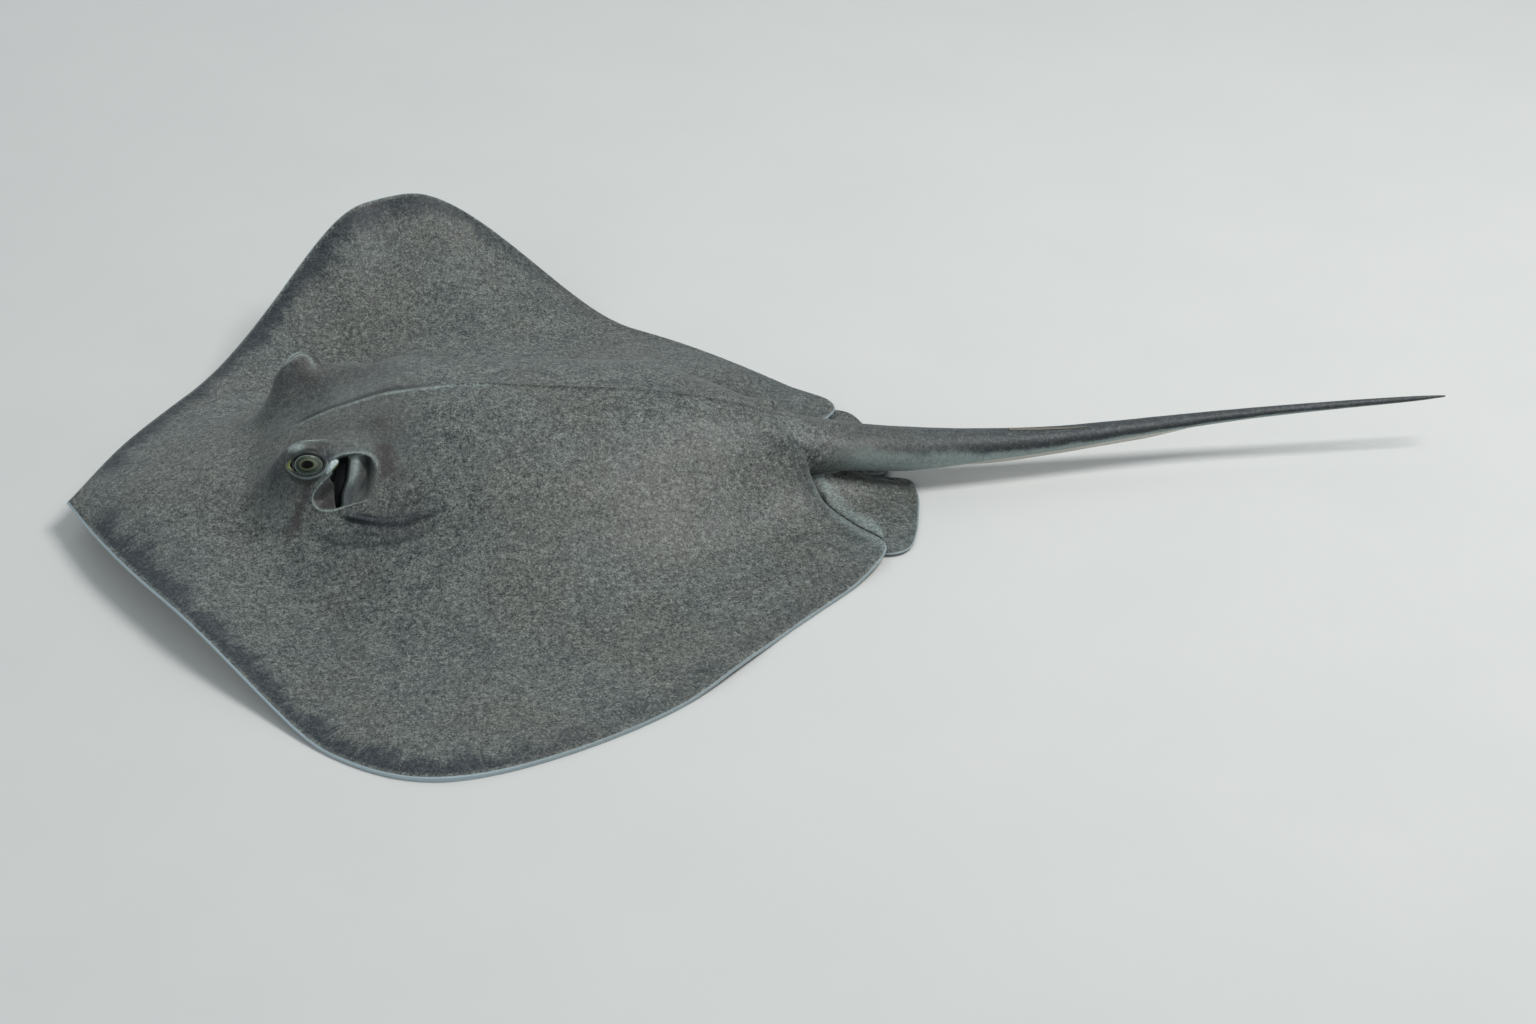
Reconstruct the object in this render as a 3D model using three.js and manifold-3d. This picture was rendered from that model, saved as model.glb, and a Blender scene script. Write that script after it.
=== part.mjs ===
// A southern stingray at life size, lying on a flat floor with its right wing raised.
// Millimetres: p runs back from the snout tip, q to the animal's right, z up from the floor.
import * as THREE from "three";
import { mergeVertices } from "three/addons/utils/BufferGeometryUtils.js";
import Module from "manifold-3d";

const wasm = await Module();
wasm.setup();

// ---- Driving sizes ----
const DISC_LENGTH = 760; // snout tip to the hind corners of the wings
const HALF_SPAN = 447; // midline to a wing tip laid flat
const BACK_HEIGHT = 130.5; // top of the back above the floor
const TAIL_END = 1338; // snout tip to tail tip
const BELLY_STATION = 400; // the frame's origin is on the belly under this point of the midline
const GAP = 0.35; // clearance between neighbouring solids

// ---- Fineness of the disc: edges are halved until they keep to the form ----
const COLUMNS = 9; // from the midline to a wing tip
const ROWS = 14; // from the front edge to the hind edge
const FIT = { rounds: 3, strays: 1.14, straysByAnEye: 0.6, shortest: 10 };

// ---- Blends and curves ----
const smooth = THREE.MathUtils.smoothstep;
const rise = (x, [from, to]) => smooth(x, from, to);
const fall = (x, reach) => 1 - rise(x, reach);
const bell = (x, middle, reach) => Math.exp(-(((x - middle) / reach) ** 2));

// A smooth line through [x, y] pairs, as many closely spaced points.
function smoothLine(pairs, steps = 600) {
  return new THREE.SplineCurve(pairs.map(([x, y]) => new THREE.Vector2(x, y))).getPoints(steps);
}

// Reads a line of points at a value of one coordinate, which must only rise along the line.
function readLine(line, at, from = "x", to = "y") {
  let low = 0;
  let high = line.length - 1;
  if (at <= line[low][from]) return line[low][to];
  if (at >= line[high][from]) return line[high][to];
  while (high - low > 1) {
    const middle = (low + high) >> 1;
    if (line[middle][from] <= at) low = middle;
    else high = middle;
  }
  const share = (at - line[low][from]) / (line[high][from] - line[low][from]);
  return line[low][to] + share * (line[high][to] - line[low][to]);
}

// A profile along the body, from pairs of a share of the length and a share of the size.
function profile(length, size, pairs) {
  const line = smoothLine(pairs.map(([x, y]) => [x * length, y * size]));
  return (p) => readLine(line, p);
}

// count + 1 shares from 0 to 1, closer together where the density is high.
function spread(count, density) {
  const fine = 2000;
  const sums = [0];
  for (let k = 0; k < fine; k += 1) sums.push(sums[k] + density((k + 0.5) / fine));
  const line = sums.map((sum, k) => ({ x: sum / sums[fine], y: k / fine }));
  return Array.from({ length: count + 1 }, (_, k) => readLine(line, k / count));
}

// ---- Plan of the disc ----
// Its right half: snout, front edge, wing tip, hind edge, hind corner and inner edge.
const outline = smoothLine(
  [
    [0, 0],
    [0.079, 0.277],
    [0.242, 0.707],
    [0.337, 0.913],
    [0.445, 1],
    [0.579, 0.949],
    [0.73, 0.801],
    [0.868, 0.564],
    [0.967, 0.398],
    [1, 0.3],
    [0.968, 0.213],
    [0.93, 0.1],
    [0.9, 0],
  ].map(([p, q]) => [p * DISC_LENGTH, q * HALF_SPAN]),
  1200,
);
const indexOfMost = (axis) =>
  outline.reduce((best, point, k) => (point[axis] > outline[best][axis] ? k : best), 0);
const tipIndex = indexOfMost("y");
const frontEdge = outline.slice(0, tipIndex + 1);
const hindEdge = outline.slice(tipIndex).reverse();
const sideEdge = outline.slice(0, indexOfMost("x") + 1);
const span = outline[tipIndex].y;
const front = (q) => readLine(frontEdge, Math.abs(q), "y", "x");
const hind = (q) => readLine(hindEdge, Math.abs(q), "y", "x");
const halfWidth = (p) => readLine(sideEdge, p, "x", "y");

// Distance in from the outline, measured fore and aft and eased for the slant of the edges.
function inset(p, q) {
  const ahead = Math.max(p - front(q), 0);
  const behind = Math.max(hind(q) - p, 0);
  return (0.8 * ahead * behind) / Math.max(ahead + behind, 1e-6);
}

// ---- Heights of the disc ----
const crest = profile(DISC_LENGTH, BACK_HEIGHT, [
  [0, 0.046],
  [0.079, 0.13],
  [0.158, 0.23],
  [0.224, 0.383],
  [0.27, 0.632],
  [0.31, 0.789],
  [0.342, 0.869],
  [0.395, 0.953],
  [0.447, 0.985],
  [0.487, 1],
  [0.526, 0.991],
  [0.592, 0.945],
  [0.658, 0.91],
  [0.711, 0.872],
  [0.763, 0.821],
  [0.816, 0.75],
  [0.864, 0.665],
  [0.955, 0.5],
]);
const backWidth = profile(DISC_LENGTH, HALF_SPAN, [
  [0, 0.157],
  [0.132, 0.246],
  [0.263, 0.251],
  [0.342, 0.286],
  [0.447, 0.34],
  [0.566, 0.353],
  [0.684, 0.309],
  [0.789, 0.233],
  [0.868, 0.161],
  [0.947, 0.107],
]);
const WING = { rim: 3.6, rimReach: 1.4, root: 11, rootReach: 62 }; // thicknesses and how fast they build up
const UNDER_RIM = { turn: 1.4, reach: 10 }; // the underside turns up a little at the rim
const SNOUT = { lift: 30, falls: [105, 250], dip: 4, dipEnds: [0, 50] };
const CURL = { lift: 127, rises: [105, 285], falls: [325, 562], hinge: 0.46, power: 1.55 }; // right wing
const HIND_CORNER = { lift: 7.5, along: [640, 735], starts: [8, 36], ends: [140, 200] }; // over a pelvic fin
// Flesh and pelvic fin rise to the tail's flank, and less in the middle of the belly.
const FIN_ROOT = { height: 20, out: [26, 60], dip: 8, dipOut: [0, 26], along: [640, 700] };
const RIPPLE = { lift: 3, rises: [545, 600], falls: [605, 660], out: [230, 300] }; // left wing's hind edge
const BROW = {
  q: 71,
  wide: 25,
  left: { p: 219, long: 33, height: 36 },
  right: { p: 216, long: 28.5, height: 46 },
};
const CHEEK = { p: 262, q: 78, long: 30, wide: 26, height: 20 }; // the rise that holds the spiracle
// The body leans to its left, so that the whole right side of the back is higher.
const LEAN = { height: 11, along: [120, 215], ends: [630, 720], out: [0, 80], falls: [170, 330] };
const SHOULDER = { p: 318, long: 32, height: 13 }; // muscle bunched behind the right spiracle
const FLANK = { p: 590, long: 80, height: 6 };
const EYE = { p: 231, q: 76.5, z: 99, radius: 18, opening: 14.8, looks: [-0.05, 0.85, 0.52] };
const HEAD_TURN = { ahead: 5, up: 11 }; // how much further forward and up the right eye is

const frontLift = (p) => SNOUT.lift * fall(p, SNOUT.falls) - SNOUT.dip * fall(p, SNOUT.dipEnds);

// The right wing curls up from part way out to its margin.
function curlLift(p, q) {
  const edge = halfWidth(p);
  const hinge = CURL.hinge * edge;
  const out = THREE.MathUtils.clamp((q - hinge) / Math.max(edge - hinge, 1e-6), 0, 1.1);
  return CURL.lift * rise(p, CURL.rises) * fall(p, CURL.falls) * out ** CURL.power;
}

function finRoot(out) {
  return FIN_ROOT.height * fall(out, FIN_ROOT.out) - FIN_ROOT.dip * fall(out, FIN_ROOT.dipOut);
}

function cornerLift(p, q) {
  const out = Math.abs(q);
  const inBand = rise(out, HIND_CORNER.starts) * fall(out, HIND_CORNER.ends);
  return HIND_CORNER.lift * rise(p, HIND_CORNER.along) * inBand + finRoot(out) * rise(p, FIN_ROOT.along);
}

function rippleLift(p, q) {
  return RIPPLE.lift * rise(p, RIPPLE.rises) * fall(p, RIPPLE.falls) * rise(-q, RIPPLE.out);
}

const lift = (p, q) => frontLift(p) + curlLift(p, q) + cornerLift(p, q) + rippleLift(p, q);

function wingThickness(d) {
  return WING.rim * (1 - Math.exp(-d / WING.rimReach)) + WING.root * (1 - Math.exp(-d / WING.rootReach));
}

function backRise(p, q) {
  const start = 1 - Math.exp(-Math.max(p - front(q), 0) / 25);
  const end = 1 - Math.exp(-Math.max(hind(q) - p, 0) / 9);
  const height = Math.max(crest(p) - wingThickness(inset(p, 0)), 0);
  return height * start * end * Math.exp(-(Math.abs(q / backWidth(p)) ** 2.1));
}

function headRise(p, q) {
  const out = Math.abs(q);
  const { p: middle, long, height } = q > 0 ? BROW.right : BROW.left;
  const overEye = Math.exp(-(Math.abs((out - BROW.q) / BROW.wide) ** 2.4));
  const cheek = CHEEK.height * bell(p, CHEEK.p, CHEEK.long) * bell(out, CHEEK.q, CHEEK.wide);
  return height * bell(p, middle, long) * overEye + cheek;
}

function leanRise(p, q) {
  const shoulder = SHOULDER.height * bell(p, SHOULDER.p, SHOULDER.long);
  const flank = FLANK.height * bell(p, FLANK.p, FLANK.long);
  const height = (LEAN.height * rise(p, LEAN.along) + shoulder + flank) * fall(p, LEAN.ends);
  return height * rise(q, LEAN.out) * fall(q, LEAN.falls);
}

const underside = (p, q) => lift(p, q) + UNDER_RIM.turn * (1 - smooth(inset(p, q), 0, UNDER_RIM.reach));

function upside(p, q) {
  const d = inset(p, q);
  const offRim = 1 - Math.exp(-d / 20);
  return underside(p, q) + wingThickness(d) + backRise(p, q) + (headRise(p, q) + leanRise(p, q)) * offRim;
}

// The raised wing draws in towards the body, and its hind corner tucks forward.
function placed(p, q, z) {
  if (q <= 0) return new THREE.Vector3(p, q, z);
  const drawnIn = 0.1 * curlLift(p, q) + 16 * smooth(q, 200, 420) * bell(p, 560, 70);
  const tucked = 12 * smooth(p, 640, 758) * smooth(q, 40, 110);
  return new THREE.Vector3(p - tucked, q - drawnIn, z);
}

// ---- Solids ----
// A closed surface put together from faces, whose coinciding corners are joined.
class Shell {
  constructor() {
    this.points = [];
    this.triangles = [];
    this.seen = new Map();
  }

  idOf(v) {
    const key = [v.x, v.y, v.z].map((n) => Math.round(n * 1e4)).join();
    if (!this.seen.has(key)) {
      this.seen.set(key, this.points.length);
      this.points.push(v);
    }
    return this.seen.get(key);
  }

  // A triangle or quad, less any corner that coincides with another.
  face(...corners) {
    const ids = [...new Set(corners.map((v) => this.idOf(v)))];
    for (let k = 1; k + 1 < ids.length; k += 1) this.triangles.push(ids[0], ids[k], ids[k + 1]);
  }

  solid() {
    return solidOf(this.points.flatMap((v) => [v.x, v.y, v.z]), this.triangles);
  }
}

function solidOf(positions, triangles) {
  return new wasm.Manifold(
    new wasm.Mesh({
      numProp: 3,
      vertProperties: new Float32Array(positions),
      triVerts: new Uint32Array(triangles),
    }),
  );
}

function solidOfGeometry(geometry) {
  const bare = geometry.clone();
  bare.deleteAttribute("normal");
  bare.deleteAttribute("uv");
  const merged = mergeVertices(bare, 1e-3);
  return solidOf(merged.attributes.position.array, merged.index.array);
}

// A corner of the disc is how far across it lies, what share of the way back, and on which face.
function discPoint({ q, share, upper }) {
  const p = front(q) + share * (hind(q) - front(q));
  return placed(p, q, upper ? upside(p, q) : underside(p, q));
}

// The corner halfway between two; all shares meet in one point at a wing tip.
function halfway(a, b) {
  let share = (a.share + b.share) / 2;
  if (Math.abs(a.q) === span) share = b.share;
  if (Math.abs(b.q) === span) share = a.share;
  return { q: (a.q + b.q) / 2, share, upper: a.upper };
}

// The corner that splits an edge, or null where the edge keeps to the form or is short enough.
function splitOf(a, b) {
  const [start, end] = [discPoint(a), discPoint(b)];
  const middle = halfway(a, b);
  const spot = discPoint(middle);
  const byAnEye = Math.abs(spot.x - EYE.p) < 75 && Math.abs(Math.abs(spot.y) - BROW.q) < 45;
  const allowed = byAnEye ? FIT.straysByAnEye : FIT.strays;
  const strays = spot.distanceTo(start.clone().add(end).divideScalar(2));
  return strays > allowed && start.distanceTo(end) > FIT.shortest ? middle : null;
}

// Splits a triangle at each edge that strays, into two, three or four.
function splitTriangle(corners) {
  const splits = corners.map((corner, k) => splitOf(corner, corners[(k + 1) % 3]));
  if (splits.every((split) => !split)) return [corners];
  const first = splits.findIndex((split, k) => split && !splits[(k + 2) % 3]);
  const inTurn = (list) => [0, 1, 2].map((k) => list[(Math.max(first, 0) + k) % 3]);
  const [a, b, c] = inTurn(corners);
  const [ab, bc, ca] = inTurn(splits);
  if (ca) return [[a, ab, ca], [ab, b, bc], [ca, bc, c], [ab, bc, ca]];
  if (bc) return [[a, ab, c], [ab, b, bc], [ab, bc, c]];
  return [[a, ab, c], [ab, b, c]];
}

function discSolid() {
  const shares = spread(ROWS, (s) => 1 + 0.5 / Math.sqrt(s + 0.001) + 0.5 / Math.sqrt(1.001 - s));
  const outward = spread(COLUMNS, (u) => 1 + 0.5 / Math.sqrt(1.003 - u)).map((u) => u * span);
  const columns = [...outward.slice(1).reverse().map((q) => -q), ...outward];
  let triangles = [];
  for (let i = 0; i + 1 < columns.length; i += 1) {
    for (let j = 0; j + 1 < shares.length; j += 1) {
      for (const upper of [true, false]) {
        const corner = (k, l) => ({ q: columns[i + k], share: shares[j + l], upper });
        const [a, b, c, d] = [corner(0, 0), corner(0, 1), corner(1, 1), corner(1, 0)];
        triangles.push(...(upper ? [[a, b, c], [a, c, d]] : [[a, c, b], [a, d, c]]));
      }
    }
  }
  for (let round = 0; round < FIT.rounds; round += 1) triangles = triangles.flatMap(splitTriangle);
  const shell = new Shell();
  triangles.forEach((corners) => shell.face(...corners.map(discPoint)));
  return shell.solid();
}

// ---- Tail ----
const TAIL_START = 620; // hidden inside the trunk
// Each row is a station, the height of the middle, half the height and half the width there.
const TAIL = [
  [TAIL_START, 47, 39, 52],
  [660, 45.5, 37.5, 44],
  [700, 44, 27.8, 36],
  [730, 42.5, 22.6, 31],
  [760, 38.8, 20.8, 28],
  [800, 34.5, 20.2, 25],
  [865, 33, 16, 20],
  [940, 33, 11.5, 15.5],
  [1010, 36, 8.6, 12],
  [1085, 40.5, 6.2, 8.6],
  [1160, 45, 4.6, 6.2],
  [1235, 48, 3.6, 4.6],
  [1305, 50, 2.4, 3],
  [TAIL_END, 51, 0.8, 0.8],
];
const [tailMiddle, tailHalfHeight, tailHalfWidth] = [1, 2, 3].map((column) => {
  const line = smoothLine(TAIL.map((row) => [row[0], row[column]]));
  return (p) => readLine(line, p);
});
const FOLD = { depth: 6, rises: [800, 900], falls: [1030, 1115], width: 0.2 }; // skin fold under the tail
const tailBend = (p) => 14 * smooth(p, 820, 1120); // towards the right

// A point on the tail's surface; turn 0 is its right side and a quarter turn its top.
function tailPoint(p, turn) {
  const fromBelow = Math.atan2(Math.cos(turn), -Math.sin(turn));
  const fold = FOLD.depth * rise(p, FOLD.rises) * fall(p, FOLD.falls) * bell(fromBelow, 0, FOLD.width);
  const y = tailBend(p) + tailHalfWidth(p) * Math.cos(turn);
  return new THREE.Vector3(p, y, tailMiddle(p) + tailHalfHeight(p) * Math.sin(turn) - fold);
}

function tailSolid() {
  const sides = 12;
  const steps = 24;
  const station = (k) => TAIL_START + ((TAIL_END - TAIL_START) * k) / steps;
  const ring = (k, side) => tailPoint(station(k), ((side % sides) / sides) * 2 * Math.PI);
  const hub = (k) => new THREE.Vector3(station(k), tailBend(station(k)), tailMiddle(station(k)));
  const shell = new Shell();
  for (let side = 0; side < sides; side += 1) {
    shell.face(hub(0), ring(0, side + 1), ring(0, side));
    shell.face(hub(steps), ring(steps, side), ring(steps, side + 1));
    for (let k = 0; k < steps; k += 1) {
      shell.face(ring(k, side), ring(k, side + 1), ring(k + 1, side + 1), ring(k + 1, side));
    }
  }
  return shell.solid();
}

// ---- Pelvic fins ----
// Outline of a fin as station and distance out, from its root forward and round.
const PELVIC = [
  [745, 5],
  [690, 8],
  [672, 34],
  [694, 84],
  [722, 118],
  [748, 136],
  [768, 140],
  [784, 130],
  [794, 104],
  [801, 72],
  [806, 40],
  [805, 12],
  [793, 3],
  [768, 3],
  [745, 5],
];
const PELVIC_STEPS = 600;
const PELVIC_SPOKES = 20;
const PELVIC_MIDDLE = new THREE.Vector2(735, 40);
const PELVIC_TUCK = 20; // the right fin is held further forward
const PELVIC_ROOT = { swell: 9, out: 10, wide: 12, ends: [700, 800] }; // it lies along the tail's flank
const pelvicRim = smoothLine(PELVIC, PELVIC_STEPS);

// The fin is thickest at its root and fans out to a thin rounded rim.
function pelvicPoint(side, spoke, share, upper) {
  const rim = pelvicRim[Math.round(((spoke % PELVIC_SPOKES) / PELVIC_SPOKES) * PELVIC_STEPS)];
  const { x: p, y: out } = PELVIC_MIDDLE.clone().lerp(new THREE.Vector2(rim.x, rim.y), share);
  const swell = PELVIC_ROOT.swell * bell(out, PELVIC_ROOT.out, PELVIC_ROOT.wide);
  const root = (finRoot(out) + swell) * fall(p, PELVIC_ROOT.ends);
  const low = 1.6 * share ** 12;
  const thick = (5.6 + root) * Math.sqrt(1 - share ** 12);
  return new THREE.Vector3(side > 0 ? p - PELVIC_TUCK : p, side * out, upper ? low + thick : low);
}

function pelvicSolid(side) {
  const rings = [0, 0.6, 0.92, 1];
  const shell = new Shell();
  for (let spoke = 0; spoke < PELVIC_SPOKES; spoke += 1) {
    for (let ring = 0; ring + 1 < rings.length; ring += 1) {
      for (const upper of [true, false]) {
        const corner = (a, b) => pelvicPoint(side, spoke + a, rings[ring + b], upper);
        const corners = [corner(0, 0), corner(0, 1), corner(1, 1), corner(1, 0)];
        shell.face(...(upper === side < 0 ? corners : corners.reverse()));
      }
    }
  }
  return shell.solid();
}

// ---- Cuts between the parts of the body ----
const FAR = 400; // cutters reach well past the body
const NECK_STATION = 350;
const TAIL_ROOT = 748;
const TAIL_CUTS = [930, 1130];
const TAIL_REACH = 70; // cuts across the tail reach this far out

// Where a wing leaves the body, as station and distance out.
const wingRoot = smoothLine(
  [
    [-30, 12],
    [60, 46],
    [160, 92],
    [260, 128],
    [345, 148],
    [430, 152],
    [520, 132],
    [600, 100],
    [660, 68],
    [716, 44],
    [732, 40],
  ],
  18,
);

// A thin upright wall that follows a line of points.
function curtain(line) {
  const edge = (offset) =>
    line.map((point, k) => {
      const before = line[Math.max(k - 1, 0)];
      const after = line[Math.min(k + 1, line.length - 1)];
      const along = new THREE.Vector2(after.x - before.x, after.y - before.y).normalize();
      return new THREE.Vector2(point.x - along.y * offset, point.y + along.x * offset);
    });
  const shape = new THREE.Shape([...edge(-GAP / 2), ...edge(GAP / 2).reverse()]);
  const wall = new THREE.ExtrudeGeometry(shape, { depth: FAR, bevelEnabled: false });
  return solidOfGeometry(wall.translate(0, 0, -FAR / 2));
}

const acrossAt = (station, reach) =>
  curtain([new THREE.Vector2(station, -reach), new THREE.Vector2(station, reach)]);

// ---- Eyes, spiracles and the openings below ----
const SPIRACLE = { p: 269, q: 93, z: 89, radii: [33, 18, 19.5], turn: 0.66, lean: 0.62 };
const MOUTH = { p: 152, radii: [3, 31, 3.4] };
const NOSTRIL = { p: 126, q: 30, radii: [5, 9, 3.4] };
const VENT = { p: 664, radii: [14, 3, 3] };
const GILL = { count: 5, p: 236, step: 22, q: 88, inward: 7, radii: [2.4, 9, 2.6] };

function ellipsoid(radii, detail) {
  return new THREE.SphereGeometry(1, ...detail).scale(...radii);
}

// Puts an eye's or a spiracle's form in its place on one side of the head, which is turned a little.
function placedOnHead(form, { p, q, z }, side) {
  const { ahead, up } = side > 0 ? HEAD_TURN : { ahead: 0, up: 0 };
  return form.translate(p - ahead, side * q, z + up);
}

function eyeball(side, radius) {
  const form = new THREE.SphereGeometry(radius, 14, 9).rotateX(Math.PI / 2);
  return placedOnHead(form, EYE, side);
}

// The socket holds the eyeball with a clearance and opens outwards between the lids.
function eyeSocket(side) {
  const [x, y, z] = EYE.looks;
  const outward = new THREE.Vector3(x, side * y, z).normalize();
  const reach = 50;
  const opening = new THREE.CylinderGeometry(EYE.opening, EYE.opening, reach, 16);
  opening.translate(0, reach / 2, 0);
  opening.applyQuaternion(new THREE.Quaternion().setFromUnitVectors(new THREE.Vector3(0, 1, 0), outward));
  const room = eyeball(side, EYE.radius + GAP);
  return solidOfGeometry(room).add(solidOfGeometry(placedOnHead(opening, EYE, side)));
}

// The spiracle opens upwards and back, behind and below the eye.
function spiraclePocket(side) {
  const form = ellipsoid(SPIRACLE.radii, [12, 8]).rotateY(-SPIRACLE.turn).rotateX(-side * SPIRACLE.lean);
  return solidOfGeometry(placedOnHead(form, SPIRACLE, side));
}

// Mouth, nostrils, gill slits and vent are shallow grooves in the underside.
function undersideGrooves() {
  const groove = (p, q, radii) =>
    solidOfGeometry(ellipsoid(radii, [7, 4]).translate(p, q, lift(p, q) - 0.4));
  const grooves = [groove(MOUTH.p, 0, MOUTH.radii), groove(VENT.p, 0, VENT.radii)];
  for (const side of [-1, 1]) {
    grooves.push(groove(NOSTRIL.p, side * NOSTRIL.q, NOSTRIL.radii));
    for (let k = 0; k < GILL.count; k += 1) {
      grooves.push(groove(GILL.p + k * GILL.step, side * (GILL.q - k * GILL.inward), GILL.radii));
    }
  }
  return grooves;
}

// ---- Sting ----
// A flat serrated spine that lies along the top of the tail.
const STING = { from: 900, to: 982, halfWidth: 2.6, thickness: 2.2, barbs: 8, barb: 0.4, sunk: 1 };

function stingSolid() {
  const length = STING.to - STING.from;
  const tailTop = (p) => tailMiddle(p) + tailHalfHeight(p);
  const halfWidthAt = (x) => STING.halfWidth * Math.sqrt(1 - x / length);
  const edge = [];
  for (let k = 0; k < STING.barbs; k += 1) {
    const start = (length * k) / STING.barbs;
    const notch = start + length / STING.barbs / 2;
    edge.push(new THREE.Vector2(start, halfWidthAt(start)));
    edge.push(new THREE.Vector2(notch, halfWidthAt(start) - STING.barb));
  }
  const otherEdge = edge.map(({ x, y }) => new THREE.Vector2(x, -y)).reverse();
  const shape = new THREE.Shape([...edge, new THREE.Vector2(length, 0), ...otherEdge]);
  const blade = new THREE.ExtrudeGeometry(shape, { depth: STING.thickness, bevelEnabled: false });
  blade.rotateY(-Math.atan2(tailTop(STING.to) - tailTop(STING.from), length));
  blade.translate(STING.from, tailBend((STING.from + STING.to) / 2), tailTop(STING.from) - STING.sunk);
  return solidOfGeometry(blade);
}

// ---- The body, parted ----
const sides = { left: -1, right: 1 };
const bothSides = Object.values(sides);
const sum = (solids) => solids.reduce((a, b) => a.add(b));
const largest = (solid) => solid.decompose().reduce((a, b) => (b.volume() > a.volume() ? b : a));
const disc = discSolid();
const flesh = disc.add(tailSolid());

// What a neighbour keeps clear of: the flesh, and the same moved by the gap along each axis.
const clearOfFlesh = sum(
  [
    [0, 0, 1],
    [0, 0, -1],
    [0, 1, 0],
    [0, -1, 0],
    [1, 0, 0],
    [-1, 0, 0],
  ].map((way) => flesh.translate(way.map((n) => n * GAP))),
).add(flesh);

const cuts = sum([
  ...bothSides.map((side) => curtain(wingRoot.map(({ x, y }) => new THREE.Vector2(x, side * y)))),
  acrossAt(NECK_STATION, readLine(wingRoot, NECK_STATION)),
  ...[TAIL_ROOT, ...TAIL_CUTS].map((station) => acrossAt(station, TAIL_REACH)),
]);
const hollows = sum([...bothSides.map(eyeSocket), ...bothSides.map(spiraclePocket), ...undersideGrooves()]);
const pieces = flesh.subtract(cuts).subtract(hollows).decompose();

// The piece of the body whose middle is nearest to a place; crumbs of the cutting don't count.
function pieceNear(p, q) {
  const crumb = 50;
  const away = (solid) => {
    const { min, max } = solid.boundingBox();
    return Math.hypot((min[0] + max[0]) / 2 - p, (min[1] + max[1]) / 2 - q);
  };
  return pieces.filter((solid) => solid.volume() > crumb).reduce((a, b) => (away(b) < away(a) ? b : a));
}

// ---- Scene graph ----
const LOOKS = {
  skin: { color: 0x6b6a66, roughness: 0.62, metalness: 0 },
  fin: { color: 0x63635f, roughness: 0.6, metalness: 0 },
  tail: { color: 0x4a4c4b, roughness: 0.6, metalness: 0 },
  eye: { color: 0x2b2a20, roughness: 0.12, metalness: 0 },
  sting: { color: 0x8a8474, roughness: 0.5, metalness: 0 },
};

function geometryOf(solid) {
  const { vertProperties, triVerts } = solid.getMesh();
  const geometry = new THREE.BufferGeometry();
  geometry.setAttribute("position", new THREE.BufferAttribute(vertProperties, 3));
  geometry.setIndex(new THREE.BufferAttribute(triVerts, 1));
  return geometry;
}

const stingray = new THREE.Group();
stingray.name = "stingray";
stingray.position.x = -BELLY_STATION;

function addPart(name, geometry, look) {
  const mesh = new THREE.Mesh(geometry, new THREE.MeshStandardMaterial(LOOKS[look]));
  mesh.name = name;
  stingray.add(mesh);
}

addPart("head", geometryOf(pieceNear(175, 0)), "skin");
addPart("trunk", geometryOf(pieceNear(549, 0)), "skin");
addPart("tail_base", geometryOf(pieceNear(839, 0)), "tail");
addPart("tail_middle", geometryOf(pieceNear(1030, 8)), "tail");
addPart("tail_tip", geometryOf(pieceNear(1234, 14)), "tail");
addPart("sting", geometryOf(largest(stingSolid().subtract(clearOfFlesh))), "sting");
for (const [name, side] of Object.entries(sides)) {
  addPart(`wing_${name}`, geometryOf(pieceNear(386, side * 235)), "fin");
  addPart(`pelvic_fin_${name}`, geometryOf(largest(pelvicSolid(side).subtract(clearOfFlesh))), "fin");
  addPart(`eye_${name}`, eyeball(side, EYE.radius), "eye");
}

export default stingray;
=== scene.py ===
"""A life-size southern stingray, its right wing raised: one skin, eyes, sting and thorns.

The forms are worked out in millimetres: p runs back from the snout tip, q to the animal's right and
z up from the floor. They become metres in the frame's own axes when a mesh is made.
"""

import math

import bpy
import numpy as np
from mathutils import Matrix, Vector
from mathutils.kdtree import KDTree


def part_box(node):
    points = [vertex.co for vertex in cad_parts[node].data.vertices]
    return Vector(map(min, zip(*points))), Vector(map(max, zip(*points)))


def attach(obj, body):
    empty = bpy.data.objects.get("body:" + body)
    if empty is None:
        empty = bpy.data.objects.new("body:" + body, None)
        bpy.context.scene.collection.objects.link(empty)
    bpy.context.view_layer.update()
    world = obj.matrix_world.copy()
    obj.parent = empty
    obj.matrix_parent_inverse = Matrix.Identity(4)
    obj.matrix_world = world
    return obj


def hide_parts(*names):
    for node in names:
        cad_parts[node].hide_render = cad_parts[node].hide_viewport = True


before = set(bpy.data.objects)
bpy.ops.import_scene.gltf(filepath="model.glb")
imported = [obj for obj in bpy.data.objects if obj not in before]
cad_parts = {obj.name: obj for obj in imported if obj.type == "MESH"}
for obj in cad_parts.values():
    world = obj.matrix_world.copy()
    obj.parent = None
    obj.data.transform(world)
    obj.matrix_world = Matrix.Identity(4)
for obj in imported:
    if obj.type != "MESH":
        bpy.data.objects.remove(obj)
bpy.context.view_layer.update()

# ---- Sizes read from the frame ----
MM = 1000.0
SNOUT_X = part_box("head")[0].x


def station(x):
    """How far behind the snout tip a place on the frame's X axis is."""
    return (x - SNOUT_X) * MM


DISC_LENGTH = station(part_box("wing_left")[1].x)
HALF_SPAN = -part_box("wing_left")[0].y * MM
BACK_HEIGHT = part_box("trunk")[1].z * MM
TAIL_END = station(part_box("tail_tip")[1].x)
EYES = {"left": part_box("eye_left"), "right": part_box("eye_right")}
EYE_RADIUS = (EYES["left"][1].z - EYES["left"][0].z) * MM / 2
SIDES = {"left": -1, "right": 1}

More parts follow.
